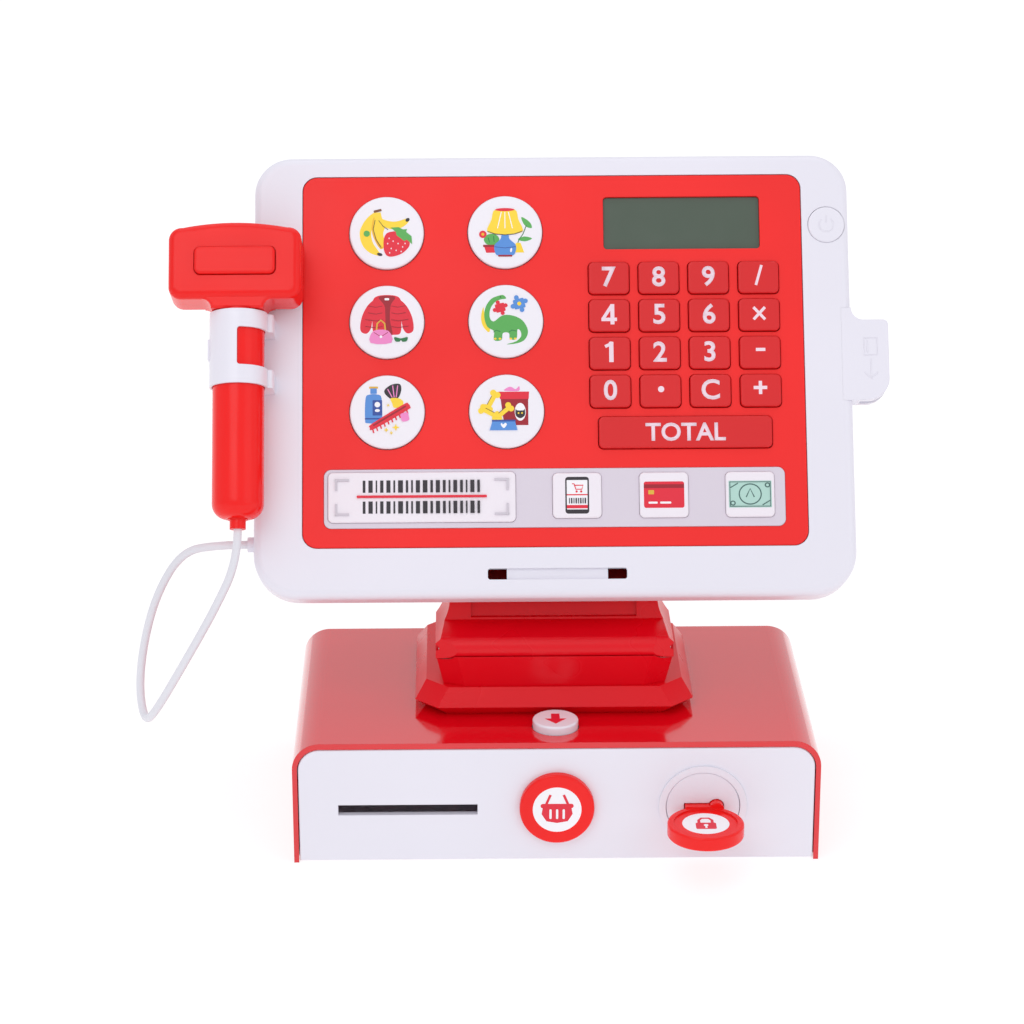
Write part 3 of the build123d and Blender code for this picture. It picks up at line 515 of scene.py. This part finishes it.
# %% Fruit
def fruit():
    shapes = [
        ("yellow", smooth([(-4.2, 8.6), (-8.2, 5.6), (-10.8, 0.4), (-9.8, -5.0), (-6.6, -8.4),
                           (-2.3, -9.6), (-3.6, -7.2), (-5.6, -4.0), (-6.2, 0.0), (-5.0, 4.6)])),
        ("deep_yellow", smooth([(-5.3, 6.0), (-6.0, 1.0), (-4.6, -3.6), (-2.4, -6.8),
                                (-1.0, -5.4), (-2.0, -1.6), (-1.8, 3.0), (-3.4, 6.4)])),
        ("yellow", smooth([(-4.6, 6.4), (-5.2, 1.4), (-3.8, -3.0), (-1.6, -6.0),
                           (-0.6, -4.4), (-1.4, -0.6), (-0.6, 3.2), (-2.4, 6.6)])),
        ("yellow", smooth([(-3.4, 6.2), (0.6, 4.8), (4.2, 4.6), (8.8, 5.9), (8.4, 3.8),
                           (5.4, 1.8), (1.8, 1.4), (-1.2, 2.6), (-2.8, 4.2)])),
        ("yellow", [(-5.2, 8.2), (-2.4, 8.4), (-1.8, 5.6), (-4.8, 5.4)]),
        ("brown", round_box(-3.6, 9.0, 3.2, 1.0, 0.3, 14)),
        ("black", oval(8.4, 5.2, 0.9, 0.7, 40)),
        ("black", oval(-2.8, -9.0, 1.1, 0.6, -15)),
        ("green", oval(-8.0, -0.4, 1.25)),
        ("black", stroke([(-3.2, 5.0), (-1.4, 2.6), (0.6, 1.2)], 0.22)),
        ("black", stroke([(-4.6, 5.2), (-5.4, 1.4), (-4.2, -3.0), (-2.2, -6.2)], 0.22)),
        ("red", smooth([(-1.2, -3.2), (0.0, -0.4), (2.6, 0.4), (5.6, 0.2), (8.4, -2.0),
                        (9.2, -5.2), (7.0, -8.0), (3.8, -9.6), (0.6, -9.8), (-1.0, -7.6)])),
        ("green", [(1.6, 2.0), (4.8, 2.2), (6.6, 1.2), (8.2, 1.4), (7.8, 0.2), (10.0, -1.6),
                   (10.2, -4.8), (8.0, -3.0), (7.0, -3.6), (5.6, -2.4), (4.0, -1.2), (3.6, 0.4)]),
    ]
    for x, y in ((1.0, -2.4), (0.4, -4.6), (2.6, -3.6), (1.8, -6.6), (4.6, -4.6), (3.8, -7.4),
                 (6.4, -6.0), (7.4, -4.6), (1.2, -8.4), (5.8, -7.9)):
        shapes.append(("label", oval(x, y, 0.26, 0.34, count=10)))
    return shapes


print("fruit", len(fruit()), "shapes")

# %% [markdown]
# ### Lamp and plants
# The lamp has a striped shade over a round blue foot, with a flower pot on either side.
# Later shapes lie on top of earlier ones, so the plants come first and the lamp last.

# %% Lamp and plants
def lamp():
    shapes = [
        ("green", smooth([(6.6, 6.0), (8.4, 5.2), (10.2, 3.6), (10.8, 1.6), (9.0, 1.8),
                          (7.4, 3.4)])),
        ("green", smooth([(5.2, -3.0), (7.8, -2.0), (10.8, -2.8), (8.6, -3.9), (6.4, -3.8)])),
        ("deep_green", stroke([(8.6, 2.6), (7.2, -1.0), (5.6, -3.2), (5.0, -5.0)], 0.35)),
        ("yellow", [(4.4, -4.6), (6.2, -4.6), (7.6, -8.6), (3.0, -8.6)]),
        ("green", oval(-5.4, -3.2, 3.1, 2.4)),
        ("deep_green", stroke([(-6.8, -2.4), (-6.2, -4.4)], 0.3)),
        ("deep_green", stroke([(-4.6, -1.8), (-4.4, -4.2)], 0.3)),
        ("red", [(-8.6, -5.4), (-3.2, -5.4), (-4.2, -8.6), (-7.6, -8.6)]),
        ("deep_red", round_box(-5.9, -5.8, 5.8, 0.9, 0.2)),
        ("red", oval(-8.9, -1.0, 1.5)),
        ("deep_yellow", oval(-8.9, -1.0, 0.6)),
        ("blue", smooth([(-1.2, -0.6), (1.2, -0.6), (1.8, -3.0), (4.2, -5.4), (4.2, -8.0),
                         (2.8, -9.8), (-2.8, -9.8), (-4.2, -8.0), (-4.2, -5.4), (-1.8, -3.0)])),
        ("deep_blue", stroke([(-4.3, -6.2), (0.0, -6.7), (4.3, -6.2)], 0.25)),
        ("deep_red", round_box(0.0, -9.9, 5.6, 0.7, 0.2)),
        ("white", oval(2.4, -7.6, 0.4, 0.9, -10)),
        ("yellow", smooth([(-3.8, 9.2), (3.9, 9.2), (5.4, 5.0), (7.2, 0.4), (4.0, -0.8),
                           (0.0, -1.2), (-4.0, -0.8), (-7.2, 0.4), (-5.4, 5.0)], 4)),
        ("red", oval(0.0, 9.1, 3.9, 0.65)),
    ]
    for x in (-2.0, 0.0, 2.0):
        shapes.append(("white", stroke([(x * 0.7, 8.2), (x * 1.5, 1.4)], 0.35)))
    hem = [(-7.0, 0.2), (-4.0, -0.9), (0.0, -1.3), (4.0, -0.9), (7.0, 0.2)]
    shapes.append(("black", stroke(hem, 0.25)))
    return shapes


print("lamp", len(lamp()), "shapes")

# %% [markdown]
# ### Jacket and bag
# The two sleeves are one outline and its mirror image, which is why the loop runs over
# minus one and one. Thin lines across the body make it read as a quilted jacket.

# %% Jacket and bag
def clothes():
    shapes = []
    for side in (-1, 1):
        shapes.append(("red", smooth([
            (side * 3.4, 9.8), (side * 7.4, 7.0), (side * 10.0, 2.0), (side * 10.6, -3.4),
            (side * 8.4, -4.9), (side * 6.6, -3.2), (side * 5.8, 0.4), (side * 5.4, 4.4),
        ])))
    shapes += [
        ("red", smooth([(-5.8, 8.0), (-3.4, 10.6), (3.4, 10.6), (5.8, 8.0), (5.8, 1.0),
                        (5.4, -4.6), (2.6, -5.4), (-2.6, -5.4), (-5.4, -4.6), (-5.8, 1.0)])),
        ("deep_red", smooth([(-3.2, 10.2), (3.2, 10.2), (1.6, 6.8), (1.2, 1.0), (2.2, -5.2),
                             (-0.4, -4.8), (-0.6, 2.0), (-1.0, 6.6)])),
        ("white", round_box(0.0, 9.2, 1.8, 0.9, 0.25)),
    ]
    for y in (6.4, 3.6, 0.8, -2.0):
        for side in (-1, 1):
            reach = 9.0 if y > 2 else 10.0
            shapes.append(("deep_red", stroke(
                [(side * 1.8, y), (side * 4.4, y - 0.5), (side * (reach - 1.4), y + 0.1)], 0.24)))
    shapes += [
        ("gold", stroke([(-4.2, -3.8), (-3.9, -0.8), (-2.4, 0.6), (-0.9, -0.8), (-0.6, -3.8)],
                        0.6)),
        ("pink", smooth([(-5.4, -3.8), (0.6, -3.8), (1.8, -8.6), (-6.6, -8.6)], 3)),
        ("deep_red", stroke([(-5.2, -4.4), (-2.4, -6.2), (0.4, -4.4)], 0.25)),
        ("white", oval(-2.4, -6.2, 0.55)),
        ("deep_green", smooth([(3.0, -6.4), (5.6, -6.9), (8.2, -6.4), (7.8, -8.0), (6.2, -8.2),
                               (5.6, -7.5), (4.9, -8.2), (3.4, -8.0)])),
    ]
    return shapes


print("clothes", len(clothes()), "shapes")

# %% [markdown]
# ### Dinosaur and puzzle pieces
# The dinosaur is a single closed curve from its nose along the back to the tail and in
# between the legs. Each puzzle piece is a tilted box with a round knob on every side.

# %% Dinosaur and puzzle pieces
def toys():
    shapes = [
        ("yellow", smooth([(-9.0, 5.6), (-9.9, 1.6), (-9.2, -2.0), (-7.0, -4.6), (-6.4, -3.0),
                           (-8.2, 0.0), (-8.6, 3.6)])),
        ("green", smooth([
            (-3.2, 10.2), (-1.0, 10.6), (0.2, 9.2), (-2.0, 8.8), (-4.4, 7.6), (-6.2, 4.8),
            (-6.4, 1.4), (-4.8, -0.2), (-1.4, 2.2), (2.6, 2.2), (6.6, 0.2), (8.8, -4.0),
            (7.6, -7.6), (4.4, -9.2), (0.2, -9.6), (4.0, -8.4), (6.0, -6.4), (5.8, -4.2),
            (4.6, -3.6), (4.2, -7.4), (1.6, -7.4), (1.2, -5.0), (-1.2, -5.0), (-1.8, -7.8),
            (-4.8, -7.8), (-4.8, -4.2), (-7.4, -2.4), (-8.6, 1.6), (-8.0, 5.8), (-5.8, 9.0),
        ], 4)),
        ("deep_green", stroke([(-5.0, -4.6), (-3.8, -3.8), (-2.2, -4.4)], 0.3)),
        ("deep_green", stroke([(1.2, -4.6), (2.4, -3.8), (4.2, -4.2)], 0.3)),
        ("black", oval(-2.0, 9.8, 0.25, count=10)),
    ]
    for x in (-4.3, -2.4, 1.9, 3.7):
        shapes.append(("yellow", oval(x, -7.3, 0.55, 0.4, count=12)))
    for ink, x, y, size in (("red", -2.2, 5.4, 1.9), ("blue", 5.4, 7.0, 2.2)):
        shapes.append((ink, round_box(x, y, 2 * size, 1.8 * size, 0.4, 14)))
        for k in range(4):
            a = math.radians(90 * k + 24)
            reach = 1.25 * size
            knob_x, knob_y = x + reach * math.cos(a), y + reach * math.sin(a)
            shapes.append((ink, oval(knob_x, knob_y, 0.42 * size)))
    shapes.append(("yellow", oval(5.4, 7.0, 0.8)))
    return shapes


print("toys", len(toys()), "shapes")

# %% [markdown]
# ### Bottle, brush and comb
# A comb is one long bar and ten short strokes that hang from it at even steps. The small
# stars take a long and a short reach in turn, which is all that a star is.

# %% Bottle, brush and comb
def cleaning():
    shapes = [
        ("gold", round_box(-5.4, 9.8, 3.6, 0.9, 0.3)),
        ("blue", round_box(-5.4, 8.4, 2.6, 2.2, 0.2)),
        ("blue", smooth([(-7.0, 7.0), (-3.8, 7.0), (-2.2, 5.4), (-2.0, -3.4), (-3.2, -4.6),
                         (-7.8, -4.6), (-8.8, -3.4), (-8.6, 5.4)], 4)),
        ("deep_blue", round_box(-5.4, -2.8, 7.0, 0.6, 0.2)),
        ("deep_blue", round_box(-3.9, 1.6, 3.8, 6.2, 0.3)),
        ("white", oval(-3.9, 2.9, 1.1)),
        ("white", oval(-3.9, 0.5, 1.0, 0.6)),
        ("black", smooth([(-1.2, 8.2), (1.4, 10.8), (5.0, 11.2), (5.6, 8.6), (4.2, 5.4),
                          (1.4, 5.2)])),
    ]
    for x0, y0, x1, y1 in ((0.2, 9.2, 2.0, 5.8), (2.2, 10.6, 2.8, 5.8), (4.2, 10.6, 3.6, 5.8)):
        shapes.append(("pink", stroke([(x0, y0), (x1, y1)], 0.4)))
    shapes += [
        ("yellow", smooth([(1.4, 5.4), (4.6, 5.4), (6.4, 4.0), (5.8, 2.2), (2.8, 1.6),
                           (2.0, 3.4)])),
        ("red", smooth([(-6.9, -6.4), (-6.0, -4.8), (6.4, 2.9), (8.4, 3.2), (9.2, 1.8), (8.0, 0.6),
                        (-5.2, -7.0)], 4)),
        ("deep_red", stroke([(-5.6, -5.6), (7.4, 2.2)], 0.7)),
    ]
    for k in range(10):
        x = -6.0 + 1.5 * k
        y = -6.4 + 0.86 * k
        shapes.append(("red", stroke([(x, y), (x + 0.7, y - 2.2)], 0.55)))
    shapes.append(("pink", round_box(7.0, -2.2, 3.2, 3.4, 0.8, 14)))
    for x, y, size in ((3.4, -6.4, 1.4), (-0.4, -7.4, 0.9), (1.6, -8.6, 0.7), (0.4, 2.6, 0.6)):
        star = []
        for k in range(8):
            reach = size if k % 2 == 0 else 0.38 * size
            a = math.radians(45 * k)
            star.append((x + reach * math.cos(a), y + reach * math.sin(a)))
        shapes.append(("yellow", star))
    return shapes


print("cleaning", len(cleaning()), "shapes")

# %% [markdown]
# ### Pet food
# A bag of food with a cat's head on its label, three bones and a bowl. A bone is a short
# box with a pair of round knobs at either end, turned by its own angle.

# %% Pet food
def pet_food():
    shapes = [
        ("deep_red", [(-2.6, 6.6), (8.6, 6.6), (8.6, -5.8), (-1.0, -5.8)]),
        ("red", [(-3.2, 7.8), (9.0, 7.8), (8.8, 4.8), (-2.6, 4.8)]),
        ("white", oval(5.4, -0.4, 2.2, 3.6)),
        ("black", smooth([(3.6, 0.8), (4.2, 0.2), (6.6, 0.2), (7.2, 0.8), (7.2, -1.8), (5.4, -3.0),
                          (3.6, -1.8)], 4)),
        ("yellow", oval(4.7, -0.9, 0.35, count=12)),
        ("yellow", oval(6.1, -0.9, 0.35, count=12)),
        ("pink", smooth([(-1.0, 8.4), (1.4, 9.8), (3.6, 8.8), (5.0, 10.0), (5.0, 8.2),
                         (1.6, 8.0)])),
    ]
    bones = ((-6.0, 4.0, 62, 1.0), (-7.0, -0.6, -28, 0.95), (-1.2, -0.4, 40, 0.95))
    for x, y, turn, size in bones:
        dx, dy = math.cos(math.radians(turn)), math.sin(math.radians(turn))
        shapes.append(("yellow", round_box(x, y, 6.4 * size, 1.9 * size, 0.3, turn)))
        for end in (-1, 1):
            for side in (-1, 1):
                shapes.append(("yellow", oval(
                    x + 3.3 * size * end * dx - 0.95 * size * side * dy,
                    y + 3.3 * size * end * dy + 0.95 * size * side * dx, 1.25 * size)))
        shapes.append(("brown", stroke([(x - 2.0 * dx - 0.9 * dy, y - 2.0 * dy + 0.9 * dx),
                                        (x + 2.0 * dx - 0.9 * dy, y + 2.0 * dy + 0.9 * dx)], 0.22)))
    shapes += [
        ("blue", [(-5.6, -3.8), (3.2, -3.8), (4.2, -7.8), (-6.8, -7.8)]),
        ("deep_blue", round_box(-1.2, -4.0, 9.4, 0.7, 0.2)),
        ("white", smooth([(-1.6, -5.6), (-0.6, -4.9), (0.0, -5.6), (-1.2, -7.0), (-2.4, -5.6),
                          (-1.9, -4.9)], 4)),
    ]
    return shapes


print("pet food", len(pet_food()), "shapes")

# %% [markdown]
# ### Put the pictures in place
# The buttons stand in two columns and three rows. Each picture is printed on its own
# button and rides on that button's body, so it goes down when the button is pressed.

# %% Print the six pictures
PICTURE_COLS, PICTURE_ROWS, PICTURE_FACE = (-65.9, -18.4), (52.25, 15.6, -21.1), 1.6


def face_at(u, v, w):
    """A place function for prints that lie on the tablet round the point u, v, w."""
    return lambda x, y, high: on_tablet(u + x, v + y, w + high)


pictures = [fruit, lamp, clothes, toys, cleaning, pet_food]
spots = [(u, v) for v in PICTURE_ROWS for u in PICTURE_COLS]
for picture, (u, v) in zip(pictures, spots):
    name = picture.__name__
    print_on(f"print_{name}", name, face_at(u, v, PICTURE_FACE), picture())
    print("printed", name)

# %% [markdown]
# ## Numbers on the keys
# The key labels are printed in pale pink. Blender's own font is the simplest source
# of clean numerals: a text object is turned into a mesh, scaled to the right height and
# laid on its key. Five signs and the two numerals with a flag or a small hole are drawn as
# strokes instead, because they stay crisp that way. Each label rides on its key's body.

# %% Key labels
KEY_COLS, KEY_ROWS = (23.0, 42.95, 62.85, 82.9), (33.0, 17.6, 2.2, -13.3)
KEY_FACE, DIGIT_H = 1.6, 8.3
LABEL_FACE = 0.06
KEYPAD = (
    (("7", "7"), ("8", "8"), ("9", "9"), ("divide", "/")),
    (("4", "4"), ("5", "5"), ("6", "6"), ("times", "x")),
    (("1", "1"), ("2", "2"), ("3", "3"), ("minus", "-")),
    (("0", "0"), ("point", "."), ("clear", "C"), ("plus", "+")),
)
SUM_SPOT = (52.6, -30.0)


def label(name, text, height, place, body, bold=0.022):
    """Text as a thin raised mesh, its capitals this many millimetres high."""
    font = bpy.data.curves.new(name, "FONT")
    font.body, font.offset, font.size = text, bold, 1.0
    font.align_x, font.align_y = "CENTER", "CENTER"
    font.resolution_u = 4
    flat = bpy.data.meshes.new_from_object(bpy.data.objects.new(name, font))
    build = bmesh.new()
    build.from_mesh(flat)
    bmesh.ops.remove_doubles(build, verts=build.verts, dist=1e-5)
    base = build.faces[:]
    lifted = bmesh.ops.extrude_face_region(build, geom=base)["geom"]
    for vert in (g for g in lifted if isinstance(g, bmesh.types.BMVert)):
        vert.co.z += 1.0
    bmesh.ops.recalc_face_normals(build, faces=build.faces)
    xs = [v.co.x for v in build.verts]
    ys = [v.co.y for v in build.verts]
    middle = Vector(((min(xs) + max(xs)) / 2, (min(ys) + max(ys)) / 2))
    size = height / (max(ys) - min(ys))
    for vert in build.verts:
        x, y = (vert.co.x - middle.x) * size, (vert.co.y - middle.y) * size
        vert.co = place(x, y, PRINT_FOOT if vert.co.z < 0.5 else LABEL_FACE)
    mesh = bpy.data.meshes.new(name)
    build.to_mesh(mesh)
    build.free()
    piece = add(name, mesh)
    dress(piece, INKS["label"])
    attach(piece, body)
    return piece


SHAPED_LABELS = {
    "4": [round_box(1.2, 0.0, 1.6, 8.3), round_box(-0.1, -2.1, 6.2, 1.4),
          stroke([(1.0, 3.6), (-2.6, -1.9)], 1.3)],
    "1": [round_box(0.55, 0.0, 1.75, 8.3), stroke([(0.9, 3.9), (-0.4, 2.9), (-1.9, 2.2)], 1.25)],
    "times": [stroke([(-2.3, -2.5), (2.3, 2.5)], 1.15),
              stroke([(-2.3, 2.5), (2.3, -2.5)], 1.15)],
    "minus": [round_box(0.2, 0.6, 3.8, 1.3)],
    "point": [oval(0.2, 0.2, 1.25)],
    "plus": [round_box(-0.2, 0.6, 5.4, 1.35), round_box(-0.2, 0.6, 1.35, 5.4)],
    "divide": [stroke([(-1.1, -3.8), (1.3, 4.4)], 1.05)],
}
for row, v in zip(KEYPAD, KEY_ROWS):
    for (name, text), u in zip(row, KEY_COLS):
        spot = face_at(u, v + 0.4, KEY_FACE)
        if name in SHAPED_LABELS:
            sheets = [("label", ring) for ring in SHAPED_LABELS[name]]
            print_on(f"label_{name}", f"k_{name}", spot, sheets)
        else:
            label(f"label_{name}", text, DIGIT_H, spot, f"k_{name}")
label("label_sum", "TOTAL", 7.4, face_at(*SUM_SPOT, KEY_FACE), "k_sum")
print("key labels", sum(len(row) for row in KEYPAD) + 1)

# %% [markdown]
# ## The pay strip
# Four soft pads lie in a grey strip: one to scan, one for a phone, one for a card and one
# for cash. The barcode's bars come from a list of widths, and each bar is cut in two by
# the red scan line.

# %% Pay pads
PAD_FACE = 1.4
PAD_SPOTS = {
    "barcode": (-52.3, -55.6), "phone_pay": (9.2, -55.3), "card_pay": (43.6, -55.3),
    "cash_pay": (77.7, -55.3),
}
BAR_WIDTHS = (1.1, 1.7, 0.6, 1.3, 1.6, 0.7, 1.9, 0.9, 0.7, 1.6, 1.8, 1.0, 1.6, 1.1, 0.7, 1.5,
              1.1, 0.6, 1.6, 1.0)


def barcode():
    shapes, x = [], -23.4
    gap = (46.4 - sum(BAR_WIDTHS)) / (len(BAR_WIDTHS) - 1)
    for width in BAR_WIDTHS:
        for y in (4.3, -4.1):
            shapes.append(("black", round_box(x + width / 2, y, width, 4.9)))
        x += width + gap
    shapes.append(("red", round_box(0, 0.2, 51.5, 0.95, 0.3)))
    for sx in (-1, 1):
        for sy in (-1, 1):
            shapes.append(("grey", round_box(sx * 31.6, sy * 6.9, 5.6, 0.9)))
            shapes.append(("grey", round_box(sx * 33.95, sy * 5.0, 0.9, 4.7)))
    return shapes


def phone():
    cart = [(-2.0, 4.6), (-1.2, 4.6), (-0.5, 2.4), (1.9, 2.4), (2.4, 4.0), (-1.0, 4.0)]
    shapes = [
        ("black", round_box(0, 0, 9.4, 14.8, 1.2)),
        ("white", round_box(0, 0.2, 8.2, 11.8, 0.2)),
        ("red", round_box(0, 0.2, 8.2, 0.5)),
        ("red", stroke(cart, 0.45)),
        ("red", oval(-0.2, 1.5, 0.45)),
        ("red", oval(1.6, 1.5, 0.45)),
        ("red", round_box(0, -4.6, 8.2, 1.3)),
    ]
    for k in range(8):
        shapes.append(("black", round_box(-3.1 + 0.9 * k, -2.2, 0.35 + 0.2 * (k % 2), 2.2)))
    return shapes


def pay_card():
    return [
        ("red", round_box(0, 0, 16.0, 10.6, 0.9)),
        ("gold", round_box(-5.1, 1.0, 2.3, 1.7, 0.3)),
        ("deep_red", round_box(0, 3.4, 16.0, 1.5)),
        ("white", round_box(-4.4, -3.2, 3.6, 0.8, 0.3)),
        ("white", round_box(0.6, -3.2, 4.4, 0.8, 0.3)),
    ]


def bank_note():
    shapes = [
        ("mint", round_box(0, 0, 17.0, 10.8, 0.2)),
        ("deep_mint", oval(0, 0, 4.6, 4.3)),
        ("mint", oval(0, 0, 4.1, 3.8)),
        ("deep_mint", stroke([(-1.6, -1.2), (0, 2.2), (1.6, -1.2)], 0.5)),
    ]
    for sx in (-1, 1):
        shapes.append(("deep_mint", oval(sx * 6.9, sx * 3.6, 1.1, 1.0)))
        shapes.append(("deep_mint", stroke([(sx * 4.8, sx * -4.4), (sx * 7.8, sx * -2.6)], 0.4)))
        shapes.append(("mint", oval(sx * 6.9, sx * 3.6, 0.6, 0.55)))
    for side in (1, -1):
        shapes.append(("deep_mint", round_box(0, side * 4.9, 16.2, 0.25)))
    for side in (1, -1):
        shapes.append(("deep_mint", round_box(side * 8.0, 0, 0.25, 10.0)))
    return shapes


pad_drawings = {
    "barcode": barcode, "phone_pay": phone, "card_pay": pay_card, "cash_pay": bank_note,
}
for name, drawing in pad_drawings.items():
    spot = face_at(*PAD_SPOTS[name], PAD_FACE)
    print_on(f"print_{name}", name, spot, drawing())
print("pay pads printed", len(pad_drawings))

# %% [markdown]
# ## Faint marks in the white plastic
# The power button and the swipe reader carry no ink. Their signs are moulded a tenth of a
# millimetre proud in the same white plastic, so that only their edges catch the light.

# %% Raised signs
POWER_SPOT, POWER_FACE = (110.7, 54.7), 0.5
READER_SPOT, READER_FACE = (127.2, 0.0), 0.0
power_sign = [
    ("raised", stroke([(2.9 * math.sin(math.radians(a)), 2.9 * math.cos(math.radians(a)))
                       for a in range(40, 321, 20)], 0.45)),
    ("raised", stroke([(0, 3.6), (0, 0.6)], 0.45)),
]
reader_sign = [
    ("raised", stroke([(-2.6, 8.0), (2.6, 8.0), (2.6, 1.0), (-2.6, 1.0), (-2.6, 8.0)], 0.4)),
    ("raised", stroke([(-1.4, 6.9), (-1.4, 2.2)], 0.6)),
    ("raised", stroke([(0, -0.6), (0, -8.2)], 0.5)),
    ("raised", stroke([(-2.6, -6.0), (0, -8.6), (2.6, -6.0)], 0.5)),
]
INKS["raised"] = white_satin
print_on("sign_power", "power", face_at(*POWER_SPOT, POWER_FACE), power_sign,
         first=0.1, step=0.003)
print_on("sign_reader", "tablet", face_at(*READER_SPOT, READER_FACE),
         reader_sign, first=0.1, step=0.003)
print("raised signs", len(power_sign) + len(reader_sign))

# %% [markdown]
# ## Marks on the base
# A red arrow on the round release button points at the drawer it opens. The drawer's red
# badge carries a plain shopping basket, and the key's bow shows a small padlock.

# %% Base marks
RELEASE_SPOT = (0.0, -44.6)
BADGE_SPOT, BADGE_FACE = (0.2, 23.8), -63.5
arrow = [
    (-1.7, 4.6), (1.7, 4.6), (1.7, -0.2), (4.4, -0.2), (0.0, -5.2), (-4.4, -0.2), (-1.7, -0.2),
]
release_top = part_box("release_button")[1][2] / MM
print_on(
    "print_release", "release",
    lambda x, y, high: Vector((RELEASE_SPOT[0] + x, RELEASE_SPOT[1] + y, release_top + high)) * MM,
    [("red", arrow)],
)


def basket():
    shapes = [
        ("white", oval(0, 0, 9.6, count=48)),
        ("red", smooth([(-5.6, 1.2), (5.6, 1.2), (4.2, -5.0), (-4.2, -5.0)], 2)),
        ("red", round_box(0, 1.6, 13.0, 1.9, 0.9)),
        ("red", stroke([(-4.6, 1.6), (-2.6, 6.4)], 1.0)),
        ("red", stroke([(4.6, 1.6), (2.6, 6.4)], 1.0)),
    ]
    for x in (-2.6, 0.0, 2.6):
        shapes.append(("white", round_box(x, -1.9, 0.9, 4.2, 0.4)))
    return shapes


print_on(
    "print_badge", "drawer",
    lambda x, y, high: Vector((BADGE_SPOT[0] + x, BADGE_FACE - high, BADGE_SPOT[1] + y)) * MM,
    basket(), first=0.05,
)
key_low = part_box("drawer_key")[0]
KEY_BOW_R, BOW_FACE = 15.0, 23.6
bow_x = key_low[0] / MM + KEY_BOW_R
bow_y = key_low[1] / MM + KEY_BOW_R


def padlock():
    shackle = [(-2.6, 0.0), (-2.6, 3.0), (-1.4, 4.8), (1.4, 4.8), (2.6, 3.0), (2.6, 0.0)]
    return [
        ("white", oval(0, 0, 9.2, count=40)),
        ("red", stroke(shackle, 1.2)),
        ("red", round_box(0, -2.0, 8.0, 5.6, 0.8)),
        ("white", oval(0, -1.4, 0.9)),
        ("white", round_box(0, -2.8, 0.8, 2.4)),
    ]


print_on(
    "print_key", "key",
    lambda x, y, high: Vector((bow_x + x, bow_y + y, BOW_FACE + high)) * MM,
    padlock(),
)
print("base marks printed")

# %% [markdown]
# ## The studio
# The toy stands on a wide pale floor under a bright even sky. The floor glows a little of
# its own accord, as a light table does: that keeps the shadow soft and stops the red
# plastic from staining the ground around it. The plain Standard view keeps the reds strong.

# %% Sky and floor
scene = bpy.context.scene
scene.view_settings.view_transform = "Standard"
world = bpy.data.worlds.new("studio_sky")
world.use_nodes = True
world.node_tree.nodes["Background"].inputs["Color"].default_value = (0.96, 0.97, 1.0, 1)
world.node_tree.nodes["Background"].inputs["Strength"].default_value = 0.78
scene.world = world

FLOOR_HALF = 6.0
floor_mesh = bpy.data.meshes.new("studio_floor")
floor_mesh.from_pydata(
    [(x, y, 0) for x, y in ((-FLOOR_HALF, -FLOOR_HALF), (FLOOR_HALF, -FLOOR_HALF),
                            (FLOOR_HALF, FLOOR_HALF), (-FLOOR_HALF, FLOOR_HALF))],
    [], [(0, 1, 2, 3)],
)
floor = add("studio_floor", floor_mesh)
floor_white = plastic("floor_white", (0.36, 0.36, 0.365), (0.6, 0.7), drift=0.0, edge=0.0,
                      shine=0.2)
glow = floor_white.node_tree.nodes["Principled BSDF"]
glow.inputs["Emission Color"].default_value = (1.0, 1.0, 1.0, 1)
glow.inputs["Emission Strength"].default_value = 0.73
dress(floor, floor_white)
print("floor", 2 * FLOOR_HALF, "m wide")

# %% [markdown]
# ### Lamps
# Three large square lamps: the brightest in front on the left, a weak one on the right to
# fill its shadows, and one above. Large lamps give the broad, gentle highlights that make
# plastic look like plastic.

# %% Lamps
def lamp_panel(name, place, aim, size, watts):
    """A square soft lamp at a place, turned to face its aim."""
    data = bpy.data.lights.new(name, "AREA")
    data.size, data.energy = size, watts
    light = bpy.data.objects.new(name, data)
    light.location = place
    light.rotation_euler = (Vector(aim) - Vector(place)).to_track_quat("-Z", "Y").to_euler()
    scene.collection.objects.link(light)
    return light


AIM = (0, 0, 0.13)
lamp_panel("key_lamp", (-0.5, -1.0, 1.5), AIM, 1.0, 4.5)
lamp_panel("fill_lamp", (1.2, -0.9, 0.8), AIM, 1.0, 1.5)
lamp_panel("top_lamp", (0.0, 0.3, 1.6), AIM, 1.2, 3)
print("lamps", len(bpy.data.lights))
